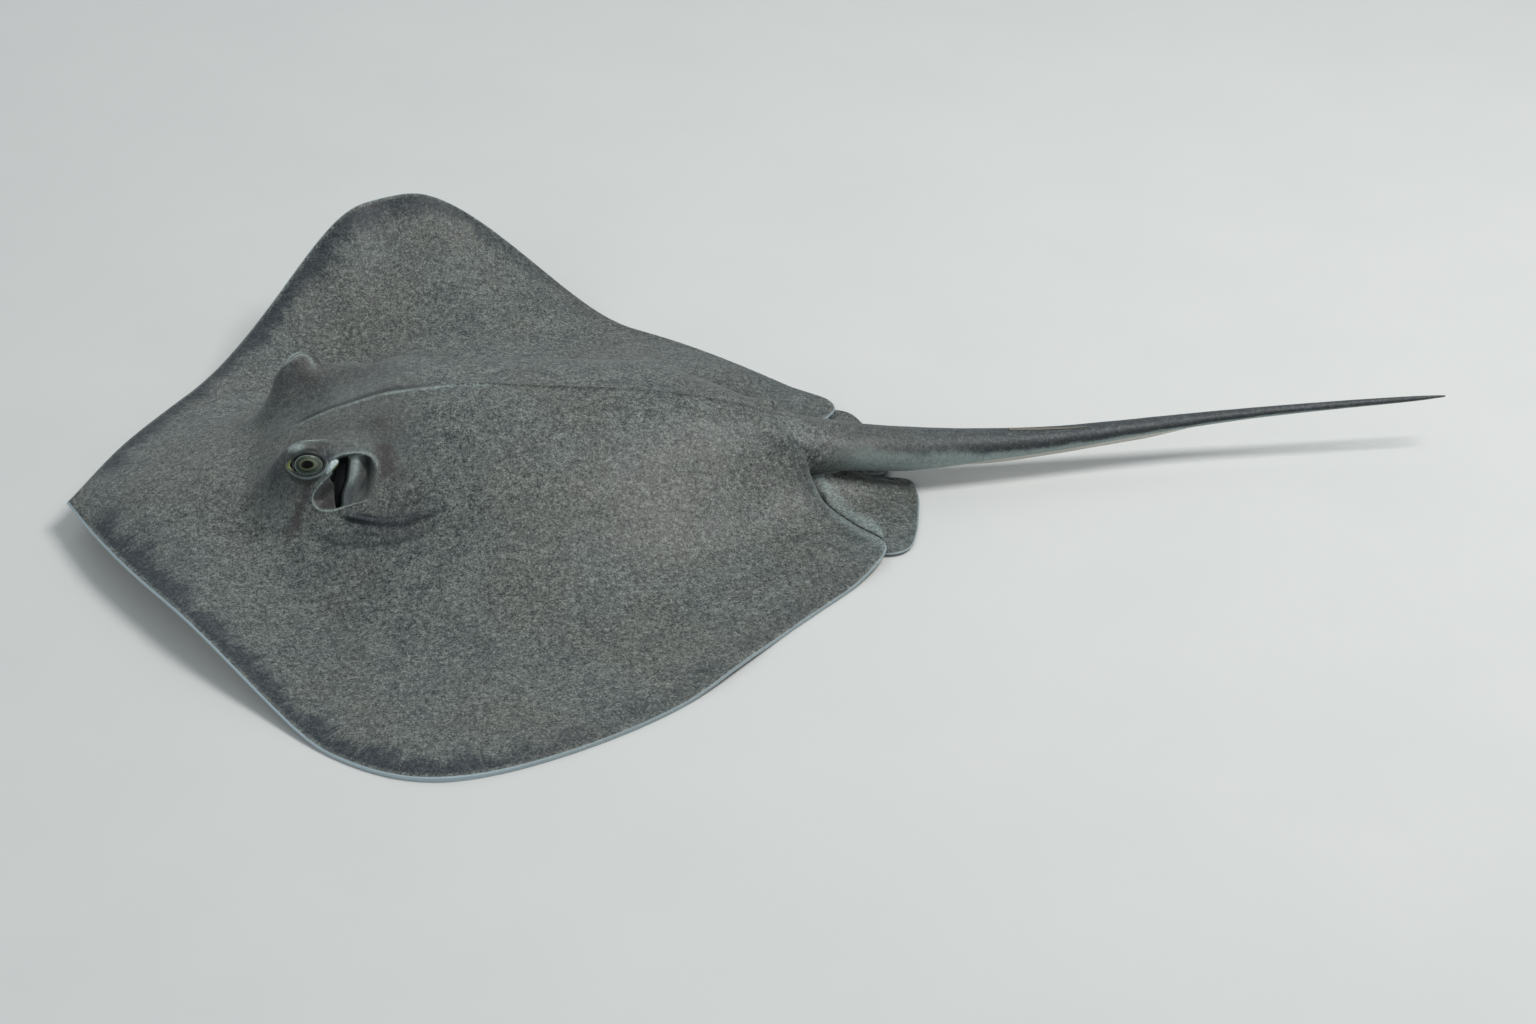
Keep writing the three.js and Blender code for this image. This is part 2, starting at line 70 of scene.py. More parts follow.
# ---- Fineness of the skin's grids ----
COLUMNS = 620  # across the disc, wing tip to wing tip
TOP_ROWS = 430  # front edge to hind edge
BOTTOM_ROWS = 290
TAIL_SIDES = 128
TAIL_STEPS = 460
PELVIC_SPOKES = 220
PELVIC_RINGS = 34
HEAD_STATIONS = (203, 308)  # the finest rows
HEAD_OUT = (73, 114)  # the finest columns, either side
MOUTH_TO_GILLS = (120, 330)  # the finest rows below


# ---- Blends and curves ----
def smooth(x, low, high):
    t = np.clip((x - low) / (high - low), 0, 1)
    return t * t * (3 - 2 * t)


def fade(x, low, high):
    """From 1 at low to 0 at high."""
    return 1 - smooth(x, low, high)


def bell(x, middle, reach):
    return np.exp(-(((x - middle) / reach) ** 2))


def mix(a, b, share):
    return a + (b - a) * share


def smooth_max(a, b, blend):
    return (a + b + np.sqrt((a - b) ** 2 + blend**2)) / 2


def smooth_line(pairs, steps=600):
    """A Catmull-Rom line through the points, as many closely spaced points."""
    points = np.asarray(pairs, float)
    last = len(points) - 1
    at = np.linspace(0, last, steps + 1)
    k = np.minimum(at.astype(int), last - 1)
    t = (at - k)[:, None]
    p0, p1 = points[np.maximum(k - 1, 0)], points[k]
    p2, p3 = points[k + 1], points[np.minimum(k + 2, last)]
    v0, v1 = (p2 - p0) / 2, (p3 - p1) / 2
    return (2 * p1 - 2 * p2 + v0 + v1) * t**3 + (3 * p2 - 3 * p1 - 2 * v0 - v1) * t**2 + v0 * t + p1


def profile(length, size, pairs):
    """A profile along the body, from pairs of a share of the length and a share of the size."""
    line = smooth_line([(x * length, y * size) for x, y in pairs])
    return lambda p: np.interp(p, line[:, 0], line[:, 1])


def noise(x, y, size, seed):
    """Smooth lumps about size across, from -1 to 1."""
    table = np.random.default_rng(seed).uniform(-1, 1, (97, 97))
    u, v = x / size + 1000, y / size + 1000
    i, j = np.floor(u).astype(int), np.floor(v).astype(int)
    fu, fv = smooth(u - i, 0, 1), smooth(v - j, 0, 1)
    i0, i1, j0, j1 = i % 97, (i + 1) % 97, j % 97, (j + 1) % 97
    low = mix(table[i0, j0], table[i1, j0], fu)
    return mix(low, mix(table[i0, j1], table[i1, j1], fu), fv)


def lumps(x, y, size, seed):
    """Two layers of noise at an angle to each other, so that no grid shows."""
    turned = noise(0.8 * x - 0.6 * y, 0.6 * x + 0.8 * y, size * 0.53, seed + 1)
    return 0.65 * noise(x, y, size, seed) + 0.35 * turned


# ---- Plan of the disc, snout to hind corner, in shares of its length and half span ----
OUTLINE = [
    (0, 0), (0.079, 0.277), (0.242, 0.707), (0.337, 0.913), (0.445, 1), (0.579, 0.949), (0.73, 0.801),
    (0.868, 0.564), (0.967, 0.398), (1, 0.3), (0.968, 0.213), (0.93, 0.1), (0.9, 0),
]
outline = smooth_line([(p * DISC_LENGTH, q * HALF_SPAN) for p, q in OUTLINE], 1200)
tip_index = int(outline[:, 1].argmax())
front_edge = outline[: tip_index + 1]
hind_edge = outline[tip_index:][::-1]
side_edge = outline[: int(outline[:, 0].argmax()) + 1]
inner_edge = outline[int(outline[:, 0].argmax()) :][::-1]
span = front_edge[-1, 1]


def front(q):
    return np.interp(np.abs(q), front_edge[:, 1], front_edge[:, 0])


def hind(q):
    return np.interp(np.abs(q), hind_edge[:, 1], hind_edge[:, 0])


def from_inner_margin(p, q):
    """How far towards the midline a place is from the inner margin of the disc's hind corner."""
    return np.interp(p, inner_edge[:, 0], inner_edge[:, 1]) - np.abs(q)


def half_width(p):
    return np.interp(p, side_edge[:, 0], side_edge[:, 1])


def inset(p, q):
    """About how far a place is inside the disc's edge."""
    ahead, behind = np.maximum(p - front(q), 0), np.maximum(hind(q) - p, 0)
    return 0.8 * ahead * behind / np.maximum(ahead + behind, 1e-6)


# ---- Heights of the disc, with the main forms of the solids ----
CREST = [
    (0, 0.046), (0.079, 0.13), (0.158, 0.23), (0.224, 0.383), (0.27, 0.632), (0.31, 0.789),
    (0.342, 0.869), (0.395, 0.953), (0.447, 0.985), (0.487, 1), (0.526, 0.991), (0.592, 0.945),
    (0.658, 0.91), (0.711, 0.872), (0.763, 0.821), (0.816, 0.75), (0.864, 0.665), (0.955, 0.5),
]
BACK_WIDTH = [
    (0, 0.157), (0.132, 0.246), (0.263, 0.251), (0.342, 0.286), (0.447, 0.34),
    (0.566, 0.353), (0.684, 0.309), (0.789, 0.233), (0.868, 0.161), (0.947, 0.107),
]
crest = profile(DISC_LENGTH, BACK_HEIGHT, CREST)
back_width = profile(DISC_LENGTH, HALF_SPAN, BACK_WIDTH)
WING_RIM, WING_RIM_TURN = 3.6, 2.4  # the margin's thickness and how far in it rounds off
WING_ROOT, WING_ROOT_REACH = 11, 62  # what the wing gains in thickness, and over how far
SNOUT = {"lift": 30, "falls": (105, 250), "dip": 4, "dip_ends": (0, 50)}
CURL = {"height": 127, "hinge": 0.46, "power": 1.55, "rises": (105, 285), "falls": (325, 562)}
CORNER = {"height": 7.5, "along": (640, 735), "out": (8, 36), "ends": (140, 200)}
RIPPLE = {"height": 3, "rises": (545, 600), "falls": (605, 660), "out": (230, 300)}
FIN_ROOT = {"height": 20, "out": (26, 60), "dip": 8, "dip_out": (0, 26), "along": (640, 700)}
BROW = {"out": 71, "half_width": 25, "power": 2.4}


def front_lift(p):
    return SNOUT["lift"] * fade(p, *SNOUT["falls"]) - SNOUT["dip"] * fade(p, *SNOUT["dip_ends"])


def curl_lift(p, q):
    """How far the right wing curls up, more and more towards its tip."""
    edge = half_width(p)
    hinge = CURL["hinge"] * edge
    out = np.clip((q - hinge) / np.maximum(edge - hinge, 1e-6), 0, 1.1)
    return CURL["height"] * smooth(p, *CURL["rises"]) * fade(p, *CURL["falls"]) * out ** CURL["power"]


def fin_root(out):
    """How the hind corner and the pelvic fin rise to the tail's flank."""
    rise = FIN_ROOT["height"] * fade(out, *FIN_ROOT["out"])
    return rise - FIN_ROOT["dip"] * fade(out, *FIN_ROOT["dip_out"])


def lift(p, q):
    """How far the underside is off the floor."""
    out = np.abs(q)
    corner = CORNER["height"] * smooth(p, *CORNER["along"]) * smooth(out, *CORNER["out"])
    corner *= fade(out, *CORNER["ends"])
    corner += fin_root(out) * smooth(p, *FIN_ROOT["along"])
    ripple = RIPPLE["height"] * smooth(p, *RIPPLE["rises"]) * fade(p, *RIPPLE["falls"])
    return front_lift(p) + curl_lift(p, q) + corner + ripple * smooth(-q, *RIPPLE["out"])


def rim_round(d):
    """From 0 at the very edge to 1 where the margin has its full thickness, on a quarter circle."""
    return np.sqrt(np.maximum(1 - (1 - np.clip(d / WING_RIM_TURN, 0, 1)) ** 2, 0))


def back_rise(p, q):
    """The body's rounded back above the wings, which falls away to the snout and to the hind edge."""
    start = 1 - np.exp(-np.maximum(p - front(q), 0) / 25)
    end = 1 - np.exp(-np.maximum(hind(q) - p, 0) / 9)
    middle = inset(p, np.zeros_like(p))
    wing = WING_RIM + WING_ROOT * (1 - np.exp(-middle / WING_ROOT_REACH))
    height = np.maximum(crest(p) - wing, 0)
    return height * start * end * np.exp(-(np.abs(q / back_width(p)) ** 2.1))


def head_rise(p, q):
    """The brows over the eyes, the right one higher, and the cheeks behind them."""
    out = np.abs(q)
    brow = np.where(q > 0, 46 * bell(p, 216, 28.5), 36 * bell(p, 219, 33))
    brow = brow * np.exp(-(np.abs((out - BROW["out"]) / BROW["half_width"]) ** BROW["power"]))
    cheek = 20 * bell(p, 262, 30) * bell(out, 78, 26)
    return brow + cheek


def lean_rise(p, q):
    """The body leans to its left, and muscle is bunched behind the right spiracle."""
    height = 11 * smooth(p, 120, 215) + 13 * bell(p, 318, 32) + 6 * bell(p, 590, 80)
    return height * fade(p, 630, 720) * smooth(q, 0, 80) * fade(q, 170, 330)


def skin_relief(p, q):
    """Soft muscle forms, the crest along the midline and the leathery unevenness of the skin."""
    d = inset(p, q)
    out = np.abs(q)
    crest_line = 1.7 * np.exp(-out / 5) * smooth(p, 70, 200) * fade(p, 560, 700)
    broad = 1.2 * lumps(p, q, 62, 11) + 0.5 * lumps(p, q, 23, 12)
    fine = 0.16 * lumps(p, q, 8, 13)
    shoulder = 2.2 * bell(out, 118, 20) * smooth(p, 300, 390) * fade(p, 480, 620)
    flank = 3.5 * bell(q, 88, 26) - 5 * bell(q, 150, 28)
    return crest_line + shoulder + (broad + fine + flank * behind_shoulders(p)) * smooth(d, 3, 45)


def behind_shoulders(p):
    """Where the back drops steeply to the raised wing, along the body."""
    return smooth(p, 420, 520) * fade(p, 680, 730)


def midline_crease(p, q):
    """A low ridge along the middle of the head with a crease on its far side."""
    along = smooth(p, 205, 235) * fade(p, 330, 410)
    return (0.9 * bell(q, -2.5, 4) - 1.5 * bell(q, 3.5, 3)) * along


def underside(p, q):
    middle = lift(p, q) + WING_RIM / 2
    return middle - WING_RIM / 2 * rim_round(inset(p, q))


def upside(p, q):
    d = inset(p, q)
    wing = WING_RIM / 2 * rim_round(d) + WING_ROOT * (1 - np.exp(-d / WING_ROOT_REACH))
    top = lift(p, q) + WING_RIM / 2 + wing
    head_and_lean = (head_rise(p, q) + lean_rise(p, q)) * (1 - np.exp(-d / 20))
    return top + back_rise(p, q) + head_and_lean + skin_relief(p, q) + midline_crease(p, q)


def placed(p, q, z):
    """The raised wing draws in towards the body, and its hind corner tucks forward."""
    right = q > 0
    drawn_in = 0.1 * curl_lift(p, q) + 16 * smooth(q, 200, 420) * bell(p, 560, 70)
    tucked = 12 * smooth(p, 640, 758) * smooth(q, 40, 110)
    return np.stack([p - tucked * right, q - drawn_in * right, z], -1)


# ---- Lids and spiracles, as reliefs in a plane that faces each of them ----
EYE_LOOKS = (-0.05, 0.85, 0.52)  # out to the side and up
APERTURE = {"middle": (1.2, -0.5), "front": 16.4, "rear": 15.8, "up": 10.3, "down": 10.2}
LID_THICKNESS = 1.5
MARGIN_STEPS, MARGIN_SIDES = 320, 14  # the lid margin's tube
SPIRACLE_FROM_EYE = (36, 18.5, -9)
SPIRACLE_LOOKS = (0.1, 0.8, 0.6)
# The spiracle's rim in its own plane, tailward and up, and lines inside it at heights in that plane.
SPIRACLE_RIM = [
    (-13.2, 20.1), (-0.9, 23.8), (13.9, 25.1), (23.8, 21.4), (28.1, 10.9), (26.3, -4), (18.9, -17.5),
    (0.4, -22.5), (-15.7, -26.2), (-26.8, -23.7), (-31.7, -15), (-28, -6.4), (-20.6, 1), (-13.8, 8.4),
]
SPIRACLE_LINES = {
    "hole_end": ([-19, -9, 2, 18], [-6.5, -5.2, -0.6, 2]),
    "ridge": ([-17.5, -6.4, 5.9, 18], [-3.4, 0.4, 6.4, 9.5]),
    "recess": ([-9, 6, 18], [12, 18, 20.5]),
    "recess_depth": ([-12, 0, 18], [6.5, 9, 12]),
}
# Folds of skin below the spiracle, in its plane from snout to tail, with their depth and width.
SPIRACLE_FOLDS = [
    ([(-12, -31), (-4, -34.4), (17, -42), (42, -45.2), (61, -41.5), (90, -32)], 3.0, 1.9),
    ([(0, -30), (20, -35.5), (42, -37.5), (66, -31)], 1.2, 1.3),
    ([(-8, -46), (20, -52.5), (45, -53), (74, -46)], 1.1, 1.5),
    ([(-36, -44), (-11, -58), (17, -62.5), (41, -61), (78, -52)], 1.2, 1.9),
    ([(34, -28), (50, -27), (66, -21), (84, -10)], 0.9, 1.5),
]


class Facing:
    """A plane at a point of the head: a runs tailward in it, b upwards, and h out of it."""

    def __init__(self, centre, looks, side):
        self.centre = np.array(centre, float)
        self.out = np.array([looks[0], side * looks[1], looks[2]])
        self.out /= np.linalg.norm(self.out)
        tailward = np.array([1.0, 0, 0]) - self.out[0] * self.out
        self.along = tailward / np.linalg.norm(tailward)
        self.up = np.cross(self.out, self.along)
        self.up *= np.sign(self.up[2])

    def read(self, points):
        away = points - self.centre
        return away @ self.along, away @ self.up, away @ self.out

    def point(self, a, b, h):
        parts = (a, self.along), (b, self.up), (h, self.out)
        return self.centre + sum(np.asarray(x)[..., None] * axis for x, axis in parts)


def eye_centre(name):
    low, high = EYES[name]
    middle = (low + high) / 2
    return np.array([station(middle.x), middle.y * MM, middle.z * MM])


def eye_facing(name):
    return Facing(eye_centre(name), EYE_LOOKS, SIDES[name])


def spiracle_facing(name):
    side = SIDES[name]
    offset = np.array(SPIRACLE_FROM_EYE, float) * (1, side, 1)
    return Facing(eye_centre(name) + offset, SPIRACLE_LOOKS, side)


def aperture_share(a, b):
    """1 on the edge of the opening between the lids, less inside it; its front corner is pointed."""
    a, b = a - APERTURE["middle"][0], b - APERTURE["middle"][1]
    wide = np.where(a > 0, APERTURE["rear"], APERTURE["front"])
    tall = np.where(b > 0, APERTURE["up"], APERTURE["down"])
    power = np.where(a > 0, 2.0, 1.65)
    return (np.abs(a / wide) ** power + np.abs(b / tall) ** power) ** (1 / power)


def ball_height(reach, radius):
    return np.sqrt(np.maximum(radius**2 - reach**2, 0))


def strengthen(masks, chosen, *marks):
    """Each mark, a mask's name and values, raises that mask where it is higher."""
    for name, values in marks:
        masks[name][chosen] = np.maximum(masks[name][chosen], np.clip(values, 0, 1))


def at_opening(a, b):
    """How far beyond the edge of the opening points are, and how far round it to the top and the rear.

    Points close to the edge are drawn onto it, so that it is a clean line.
    """
    ma, mb = APERTURE["middle"]
    from_middle = np.maximum(np.hypot(a - ma, b - mb), 1e-6)
    edge = from_middle / np.maximum(aperture_share(a, b), 1e-6)
    beyond = from_middle - edge
    snapped = np.abs(beyond) < 0.42
    pull = np.where(snapped, edge / from_middle, 1)
    a, b = ma + (a - ma) * pull, mb + (b - mb) * pull
    upper = smooth((b - mb) / from_middle, -0.15, 0.35)
    rear = smooth((a - ma) / from_middle, 0.3, 0.9)
    return a, b, np.where(snapped, 0, beyond), upper, rear


def lid_height(a, b, h, beyond, upper, rear):
    """Lids that hug the eyeball with folds round them, and skin hidden behind the ball's edge."""
    taller = np.hypot(a, b * (1 - 0.2 * upper * smooth(b, 8, 15)))
    lid = ball_height(taller, EYE_RADIUS + LID_THICKNESS + 1.3 * upper * bell(beyond, 6, 4.5))
    skin = smooth_max(h, lid, 1.8)
    fold = 0.8 * upper * bell(beyond, 2.2, 1.0)
    lower = (1 - upper) * (0.7 * bell(beyond, 2.4, 1.3) - 0.9 * bell(beyond, 4.9, 1.3))
    skin += (lower - fold) * (1 - 0.6 * rear)
    hidden = ball_height(np.hypot(a, b), EYE_RADIUS) - 1.5 - 1.3 * smooth(-beyond, 0, 3)
    return np.where(beyond < 0, hidden, skin)


def shape_lids(points, facing, masks):
    """The lids round the eyeball, and the marks on them, among them painted highlights and shade."""
    a, b, h = facing.read(points)
    near = np.nonzero((np.hypot(a, b) < 36) & (h > -12))[0]
    a, b, beyond, upper, rear = at_opening(a[near], b[near])
    h = h[near]
    in_front = smooth(h, -11, -3)
    share = fade(np.hypot(a, b), 27, 34) * in_front
    points[near] = facing.point(a, b, mix(h, lid_height(a, b, h, beyond, upper, rear), share))
    off_edge = smooth(beyond, 0.5, 2) * in_front
    lit_brow_front = smooth(-a, -4, 5) * fade(-a, 14, 19) * bell(b, 15.5, 4.2)
    brow_highlight = bell(b, 21.5, 1.1) * smooth(a, -16, -10) * fade(a, 16, 22)
    lower_crease_shade = bell(beyond, 4.8, 1.0) * (1 - upper) * (1 - rear)
    strengthen(
        masks,
        near,
        # Painted highlights on the lit front of the brow and along its top edge.
        ("pale", 0.72 * lit_brow_front * off_edge),
        ("pale", 0.5 * brow_highlight * in_front),
        ("pale", 0.6 * bell(beyond, 2.7, 1.3) * (1 - upper) * in_front),
        ("plain", fade(beyond, 4, 13) * in_front),
        ("brown", 0.8 * bell(a, 13, 11) * bell(b, 14.5, 5) * off_edge),
        # Painted shade: the upper lid's shadow, which widens the opening's dark edge above, and the lower
        # crease.
        ("dark", (0.9 * bell(beyond, 0.6, 1.0 + upper) + 0.6 * lower_crease_shade) * (beyond > -0.1)),
        # Painted shade under the brow's front, behind the eye, and on the skin hidden behind the eyeball.
        ("dark", 0.6 * bell(a, -12, 5) * bell(b, 9.4, 1.8) * off_edge),
        ("dusky_and_shade", 1.1 * bell(a, 20.8, 4.2) * bell(b, 2, 8.5) * off_edge),
        ("dark", 1.0 * (beyond < 0)),
        ("yellow", 0.8 * bell(a, -17.0, 1.7) * bell(b, -1.6, 2.8) * in_front),
    )


def lid_margin(name):
    """The rounded wet edge of the lids, a thin tube round the opening."""
    facing = eye_facing(name)
    turn = np.linspace(0, 2 * np.pi, MARGIN_STEPS, endpoint=False)
    ma, mb = APERTURE["middle"]
    edge = 1 / aperture_share(ma + np.cos(turn), mb + np.sin(turn))
    a, b = ma + edge * np.cos(turn), mb + edge * np.sin(turn)
    along_a, along_b = np.roll(a, -1) - np.roll(a, 1), np.roll(b, -1) - np.roll(b, 1)
    length = np.hypot(along_a, along_b)
    thick = 1.0 + 0.25 * smooth(np.sin(turn), -0.2, 0.5)
    around = np.linspace(0, 2 * np.pi, MARGIN_SIDES, endpoint=False)
    off, over = thick[:, None] * np.cos(around), thick[:, None] * np.sin(around)
    grid_a = a[:, None] + off * (along_b / length)[:, None]
    grid_b = b[:, None] - off * (along_a / length)[:, None]
    h = ball_height(np.hypot(a, b), EYE_RADIUS + 0.95)[:, None] + over
    points = facing.point(grid_a, grid_b, h).reshape(-1, 3)
    ids = np.arange(points.shape[0]).reshape(MARGIN_STEPS, MARGIN_SIDES)
    onward = np.roll(ids, -1, 0)
    quads = (ids, onward, np.roll(onward, -1, 1), np.roll(ids, -1, 1))
    triangles = quads_to_triangles(*(quads if SIDES[name] < 0 else quads[::-1]))
    masks = blank_masks(len(points))
    at_corner = np.repeat(bell(a, -15.2, 3), MARGIN_SIDES)
    masks["dark"] = 0.85 * (1 - at_corner)
    masks["yellow"] = at_corner
    return make_object("lid_margin", points, triangles, masks)


def inside_line(a, b, line):
    """Which points a closed line goes round."""
    inside = np.zeros(len(a), bool)
    for (x0, y0), (x1, y1) in zip(line, np.roll(line, -1, 0)):
        crosses = (y0 > b) != (y1 > b)
        if y1 != y0:
            inside ^= crosses & (a < (x1 - x0) * (b - y0) / (y1 - y0) + x0)
    return inside


def depth_in_line(a, b, line):
    """The distance to a closed line, positive inside it."""
    distance = np.full(len(a), 1e9)
    for x, y in line:
        distance = np.minimum(distance, (a - x) ** 2 + (b - y) ** 2)
    return np.sqrt(distance) * np.where(inside_line(a, b, line), 1, -1)


def spiracle_depth(a, b, s, hole_start, top):
    """How deep the flap, the hole, the ridge behind it and the recess behind that lie."""
    hole_end, ridge, recess, recess_depth = (np.interp(b, *line) for line in SPIRACLE_LINES.values())
    flap = 1.2 + 6.5 * smooth(s, 0, 12)
    deepest = 19 * smooth(s, 0.4, 5) + 3
    behind = mix(6.2, recess_depth, smooth(a, ridge + 1, recess)) * (1 - 0.55 * smooth(a, recess + 1, 29))
    depth = mix(flap, deepest, smooth(a, hole_start - 1.2 - top, hole_start + 1.4 + top))
    depth = mix(depth, behind, smooth(a, hole_end - 0.8, hole_end + 2.6))
    return depth * smooth(s, -0.3, 2.2 + 8 * smooth(a, 6, 22))


def spiracle_folds(a, b):
    """Folds that sweep past below the spiracle: their relief, and painted shade in their creases and along
    them.
    """
    folds, crease, band = np.zeros_like(a), np.zeros_like(a), np.zeros_like(a)
    for line, deep, wide in SPIRACLE_FOLDS:
        points_on = smooth_line(line, 200)
        at = np.interp(a, points_on[:, 0], points_on[:, 1]) + 0.9 * lumps(a, b, 13, 31)
        ends = smooth(a, line[0][0], line[0][0] + 16) * fade(a, line[-1][0] - 22, line[-1][0])
        folds += deep * ends * (0.55 * bell(b, at + 1.7 * wide, 1.4 * wide) - bell(b, at, wide))
        crease = np.maximum(crease, min(deep / 1.9, 1) * ends * bell(b, at, 0.9 * wide))
        band = np.maximum(band, (deep / 2.4) * ends * bell(b, at + 3, 7))
    return folds, crease, band


def mark_hollow(a, b, s, hole_start, top, tab, rim_line):
    """Spiracle marks: painted shade in hole and recess, a painted highlight on the ridge, a pale rim."""
    hole_end, ridge, recess, _ = (np.interp(b, *line) for line in SPIRACLE_LINES.values())
    shade_in_hole = smooth(a, hole_start - 1 - top, hole_start + 1) * fade(a, hole_end - 0.5, hole_end + 1.5)
    shade_in_recess = 0.95 * bell(a, recess, 4.5) * smooth(a, ridge, recess) * smooth(b, -16, -4)
    dark = np.clip(smooth(s, 0.5, 2) * (shade_in_hole + shade_in_recess), 0, 1) * tab
    ridge_highlight = bell(a, ridge + 0.5, 3.4) * smooth(s, 0, 3) * (0.2 + 0.8 * smooth(b, -9, 8))
    pale = np.maximum(mix(0.55, 0.4, smooth(b, 12, 18)) * rim_line, 0.6 * ridge_highlight) * (1 - dark)
    shade_behind_ridge = bell(a, ridge + 2, 5) * smooth(s, 0, 3) * fade(b, -8, 3)
    flap_tint = smooth(s, 0.6, 3) * fade(a, hole_start - 1, hole_start + 1) * (1 - top)
    return dark, pale, shade_behind_ridge, flap_tint


def shape_spiracle(points, facing, masks, tab):
    """The breathing hole behind the eye, with its flap, its ridge and the folds round it."""
    a, b, h = facing.read(points)
    near = np.nonzero((np.abs(a) < 110) & (np.abs(b) < 80) & (np.abs(h) < 50) & (h > -24))[0]
    a, b, tab = a[near], b[near], smooth(tab[near], 0.8, 1.2)
    on_side = smooth(h[near], -22, -10)
    s = depth_in_line(a, b, smooth_line(SPIRACLE_RIM + SPIRACLE_RIM[:1], 240)[:-1])
    soft = smooth(a, 6, 22)
    top = smooth(b, -3, 6)  # the flap ends and the hole opens out to the rim
    hole_start = mix(-11.0, -15.5, top)
    uneven = 1 + 0.45 * lumps(a, b, 7, 32)
    lip = 0.8 * bell(s, -0.9, 1.6) * (1 - soft) * uneven
    folds, crease, band = spiracle_folds(a, b)
    outside = smooth(-s, 1, 5)
    move = (lip + folds * outside - spiracle_depth(a, b, s, hole_start, top) * tab) * on_side
    points[near] += move[:, None] * facing.out
    rim_line = bell(s, -0.2, mix(0.75, 2.0, smooth(b, 12, 18))) * (1 - soft * (b < 12)) * uneven
    dark, pale, shade_behind_ridge, flap_tint = mark_hollow(a, b, s, hole_start, top, tab, rim_line)
    stripes = bell(a, 36, 9) * smooth(b, -6, 6) * fade(b, 30, 42) * smooth(-s, 0, 4)
    strengthen(
        masks,
        near,
        # Painted shade in the hole, the recess and the folds' creases.
        ("dark", np.maximum(dark, 0.85 * crease * outside) * on_side),
        # A pale rim, and a painted highlight on the ridge.
        ("pale", pale),
        ("plain", smooth(s, -1, 3)),
        # Painted shade behind the ridge.
        ("dusky_and_shade", 0.75 * shade_behind_ridge),
        ("brown", np.maximum(1.1 * stripes * on_side, 0.85 * flap_tint)),
        # Painted shade along the folds.
        ("dusky_and_shade", band * outside * on_side * (0.8 + 0.4 * lumps(a, b, 14, 35))),
    )


CARUNCLE = {"middle": (23.2, -3.6), "along": (0.68, 0.733), "half_length": 9.2, "half_width": 3.4}


def caruncle_place(points, facing):
    """Where points are on the tab of flesh: along it, across it, and 1 on its edge."""
    a, b, h = facing.read(points)
    (ma, mb), (ua, ub) = CARUNCLE["middle"], CARUNCLE["along"]
    lengthways = ((a - ma) * ua + (b - mb) * ub) / CARUNCLE["half_length"]
    across = ((b - mb) * ua - (a - ma) * ub) / CARUNCLE["half_width"]
    across = (across + 0.3 * lengthways**2) / (1 + 0.25 * lengthways)
    share = np.sqrt(lengthways**2 + across**2)
    return lengthways, across, np.where(h > -14, share, 9.0)


def shape_caruncle(points, facing, masks, place):
    """The pale tab of flesh between eye and spiracle, painted shade in the hollow, and a dark streak by the
    eye.
    """
    a, b, h = facing.read(points)
    near = np.nonzero((np.hypot(a, b) < 75) & (h > -16))[0]
    a, b = a[near], b[near]
    lengthways, across, share = (part[near] for part in place)
    rise = 2.6 * np.sqrt(np.maximum(1 - np.minimum(share, 1) ** 2, 0))
    points[near] += rise[:, None] * facing.out
    ahead = (a + 3 - 0.42 * (b + 28)) / (4 + 0.07 * np.abs(b + 28))
    streak = np.exp(-(ahead**2)) * smooth(-b, 15, 21) * fade(-b, 54, 72)
    strengthen(
        masks,
        near,
        ("white", fade(share, 0.7, 1.1)),
        ("yellow", 0.65 * bell(across, -0.85, 0.35) * bell(lengthways, 0.35, 0.6)),
        # Painted shade in the hollow ahead of the eye.
        ("dusky_and_shade", 0.9 * bell(a, -31, 15) * bell(b, -3, 17)),
        ("brown", streak * (1.15 + 0.5 * lumps(a, b, 6, 41))),
    )


# ---- Mouth, nostrils, gill slits and vent ----
MOUTH = {"p": 152, "half_width": 31}
NOSTRIL = {"p": 126, "q": 30}
GILL = {"count": 5, "p": 236, "step": 22, "q": 88, "inward": 7}
VENT = {"p": 664, "half_length": 12}


def underside_grooves(p, q):
    """How deep the grooves of the underside are, and how much shade is painted in them."""
    out = np.abs(q)
    mouth_line = MOUTH["p"] + 0.004 * q**2 + 0.6 * np.cos(q * 0.35)
    within = fade(out, MOUTH["half_width"] - 9, MOUTH["half_width"] + 1)
    mouth = bell(p, mouth_line, 2.2) * within
    lips = (bell(p, mouth_line - 6.5, 3) + bell(p, mouth_line + 6, 3)) * within
    nostril_at = NOSTRIL["p"] + 0.3 * (out - NOSTRIL["q"])
    nostril = bell(p, nostril_at, 3) * bell(out, NOSTRIL["q"], 7)
    curtain = bell(out - 0.25 * (p - NOSTRIL["p"]), 21, 1.6) * smooth(p, 124, 130) * fade(p, 146, 151)
    gills = np.zeros_like(p)
    for k in range(GILL["count"]):
        middle_p, middle_q = GILL["p"] + k * GILL["step"], GILL["q"] - k * GILL["inward"]
        away = out - middle_q
        line = middle_p - 0.25 * away + 0.05 * away**2
        gills += bell(p, line, 1.3) * fade(np.abs(away), 6, 10.5)
    along = p - VENT["p"]
    vent = bell(q, 0, 2.2) * fade(np.abs(along), VENT["half_length"] - 5, VENT["half_length"])
    depth = 3.2 * mouth + 2.8 * nostril + 0.9 * curtain + 2.2 * gills + 2.4 * vent - 0.8 * lips
    # Painted shade in the mouth, nostrils, curtain, gill slits and vent.
    dark = 0.9 * mouth + 0.85 * nostril + 0.35 * curtain + 0.6 * gills + 0.6 * vent
    return depth, np.clip(dark, 0, 1)


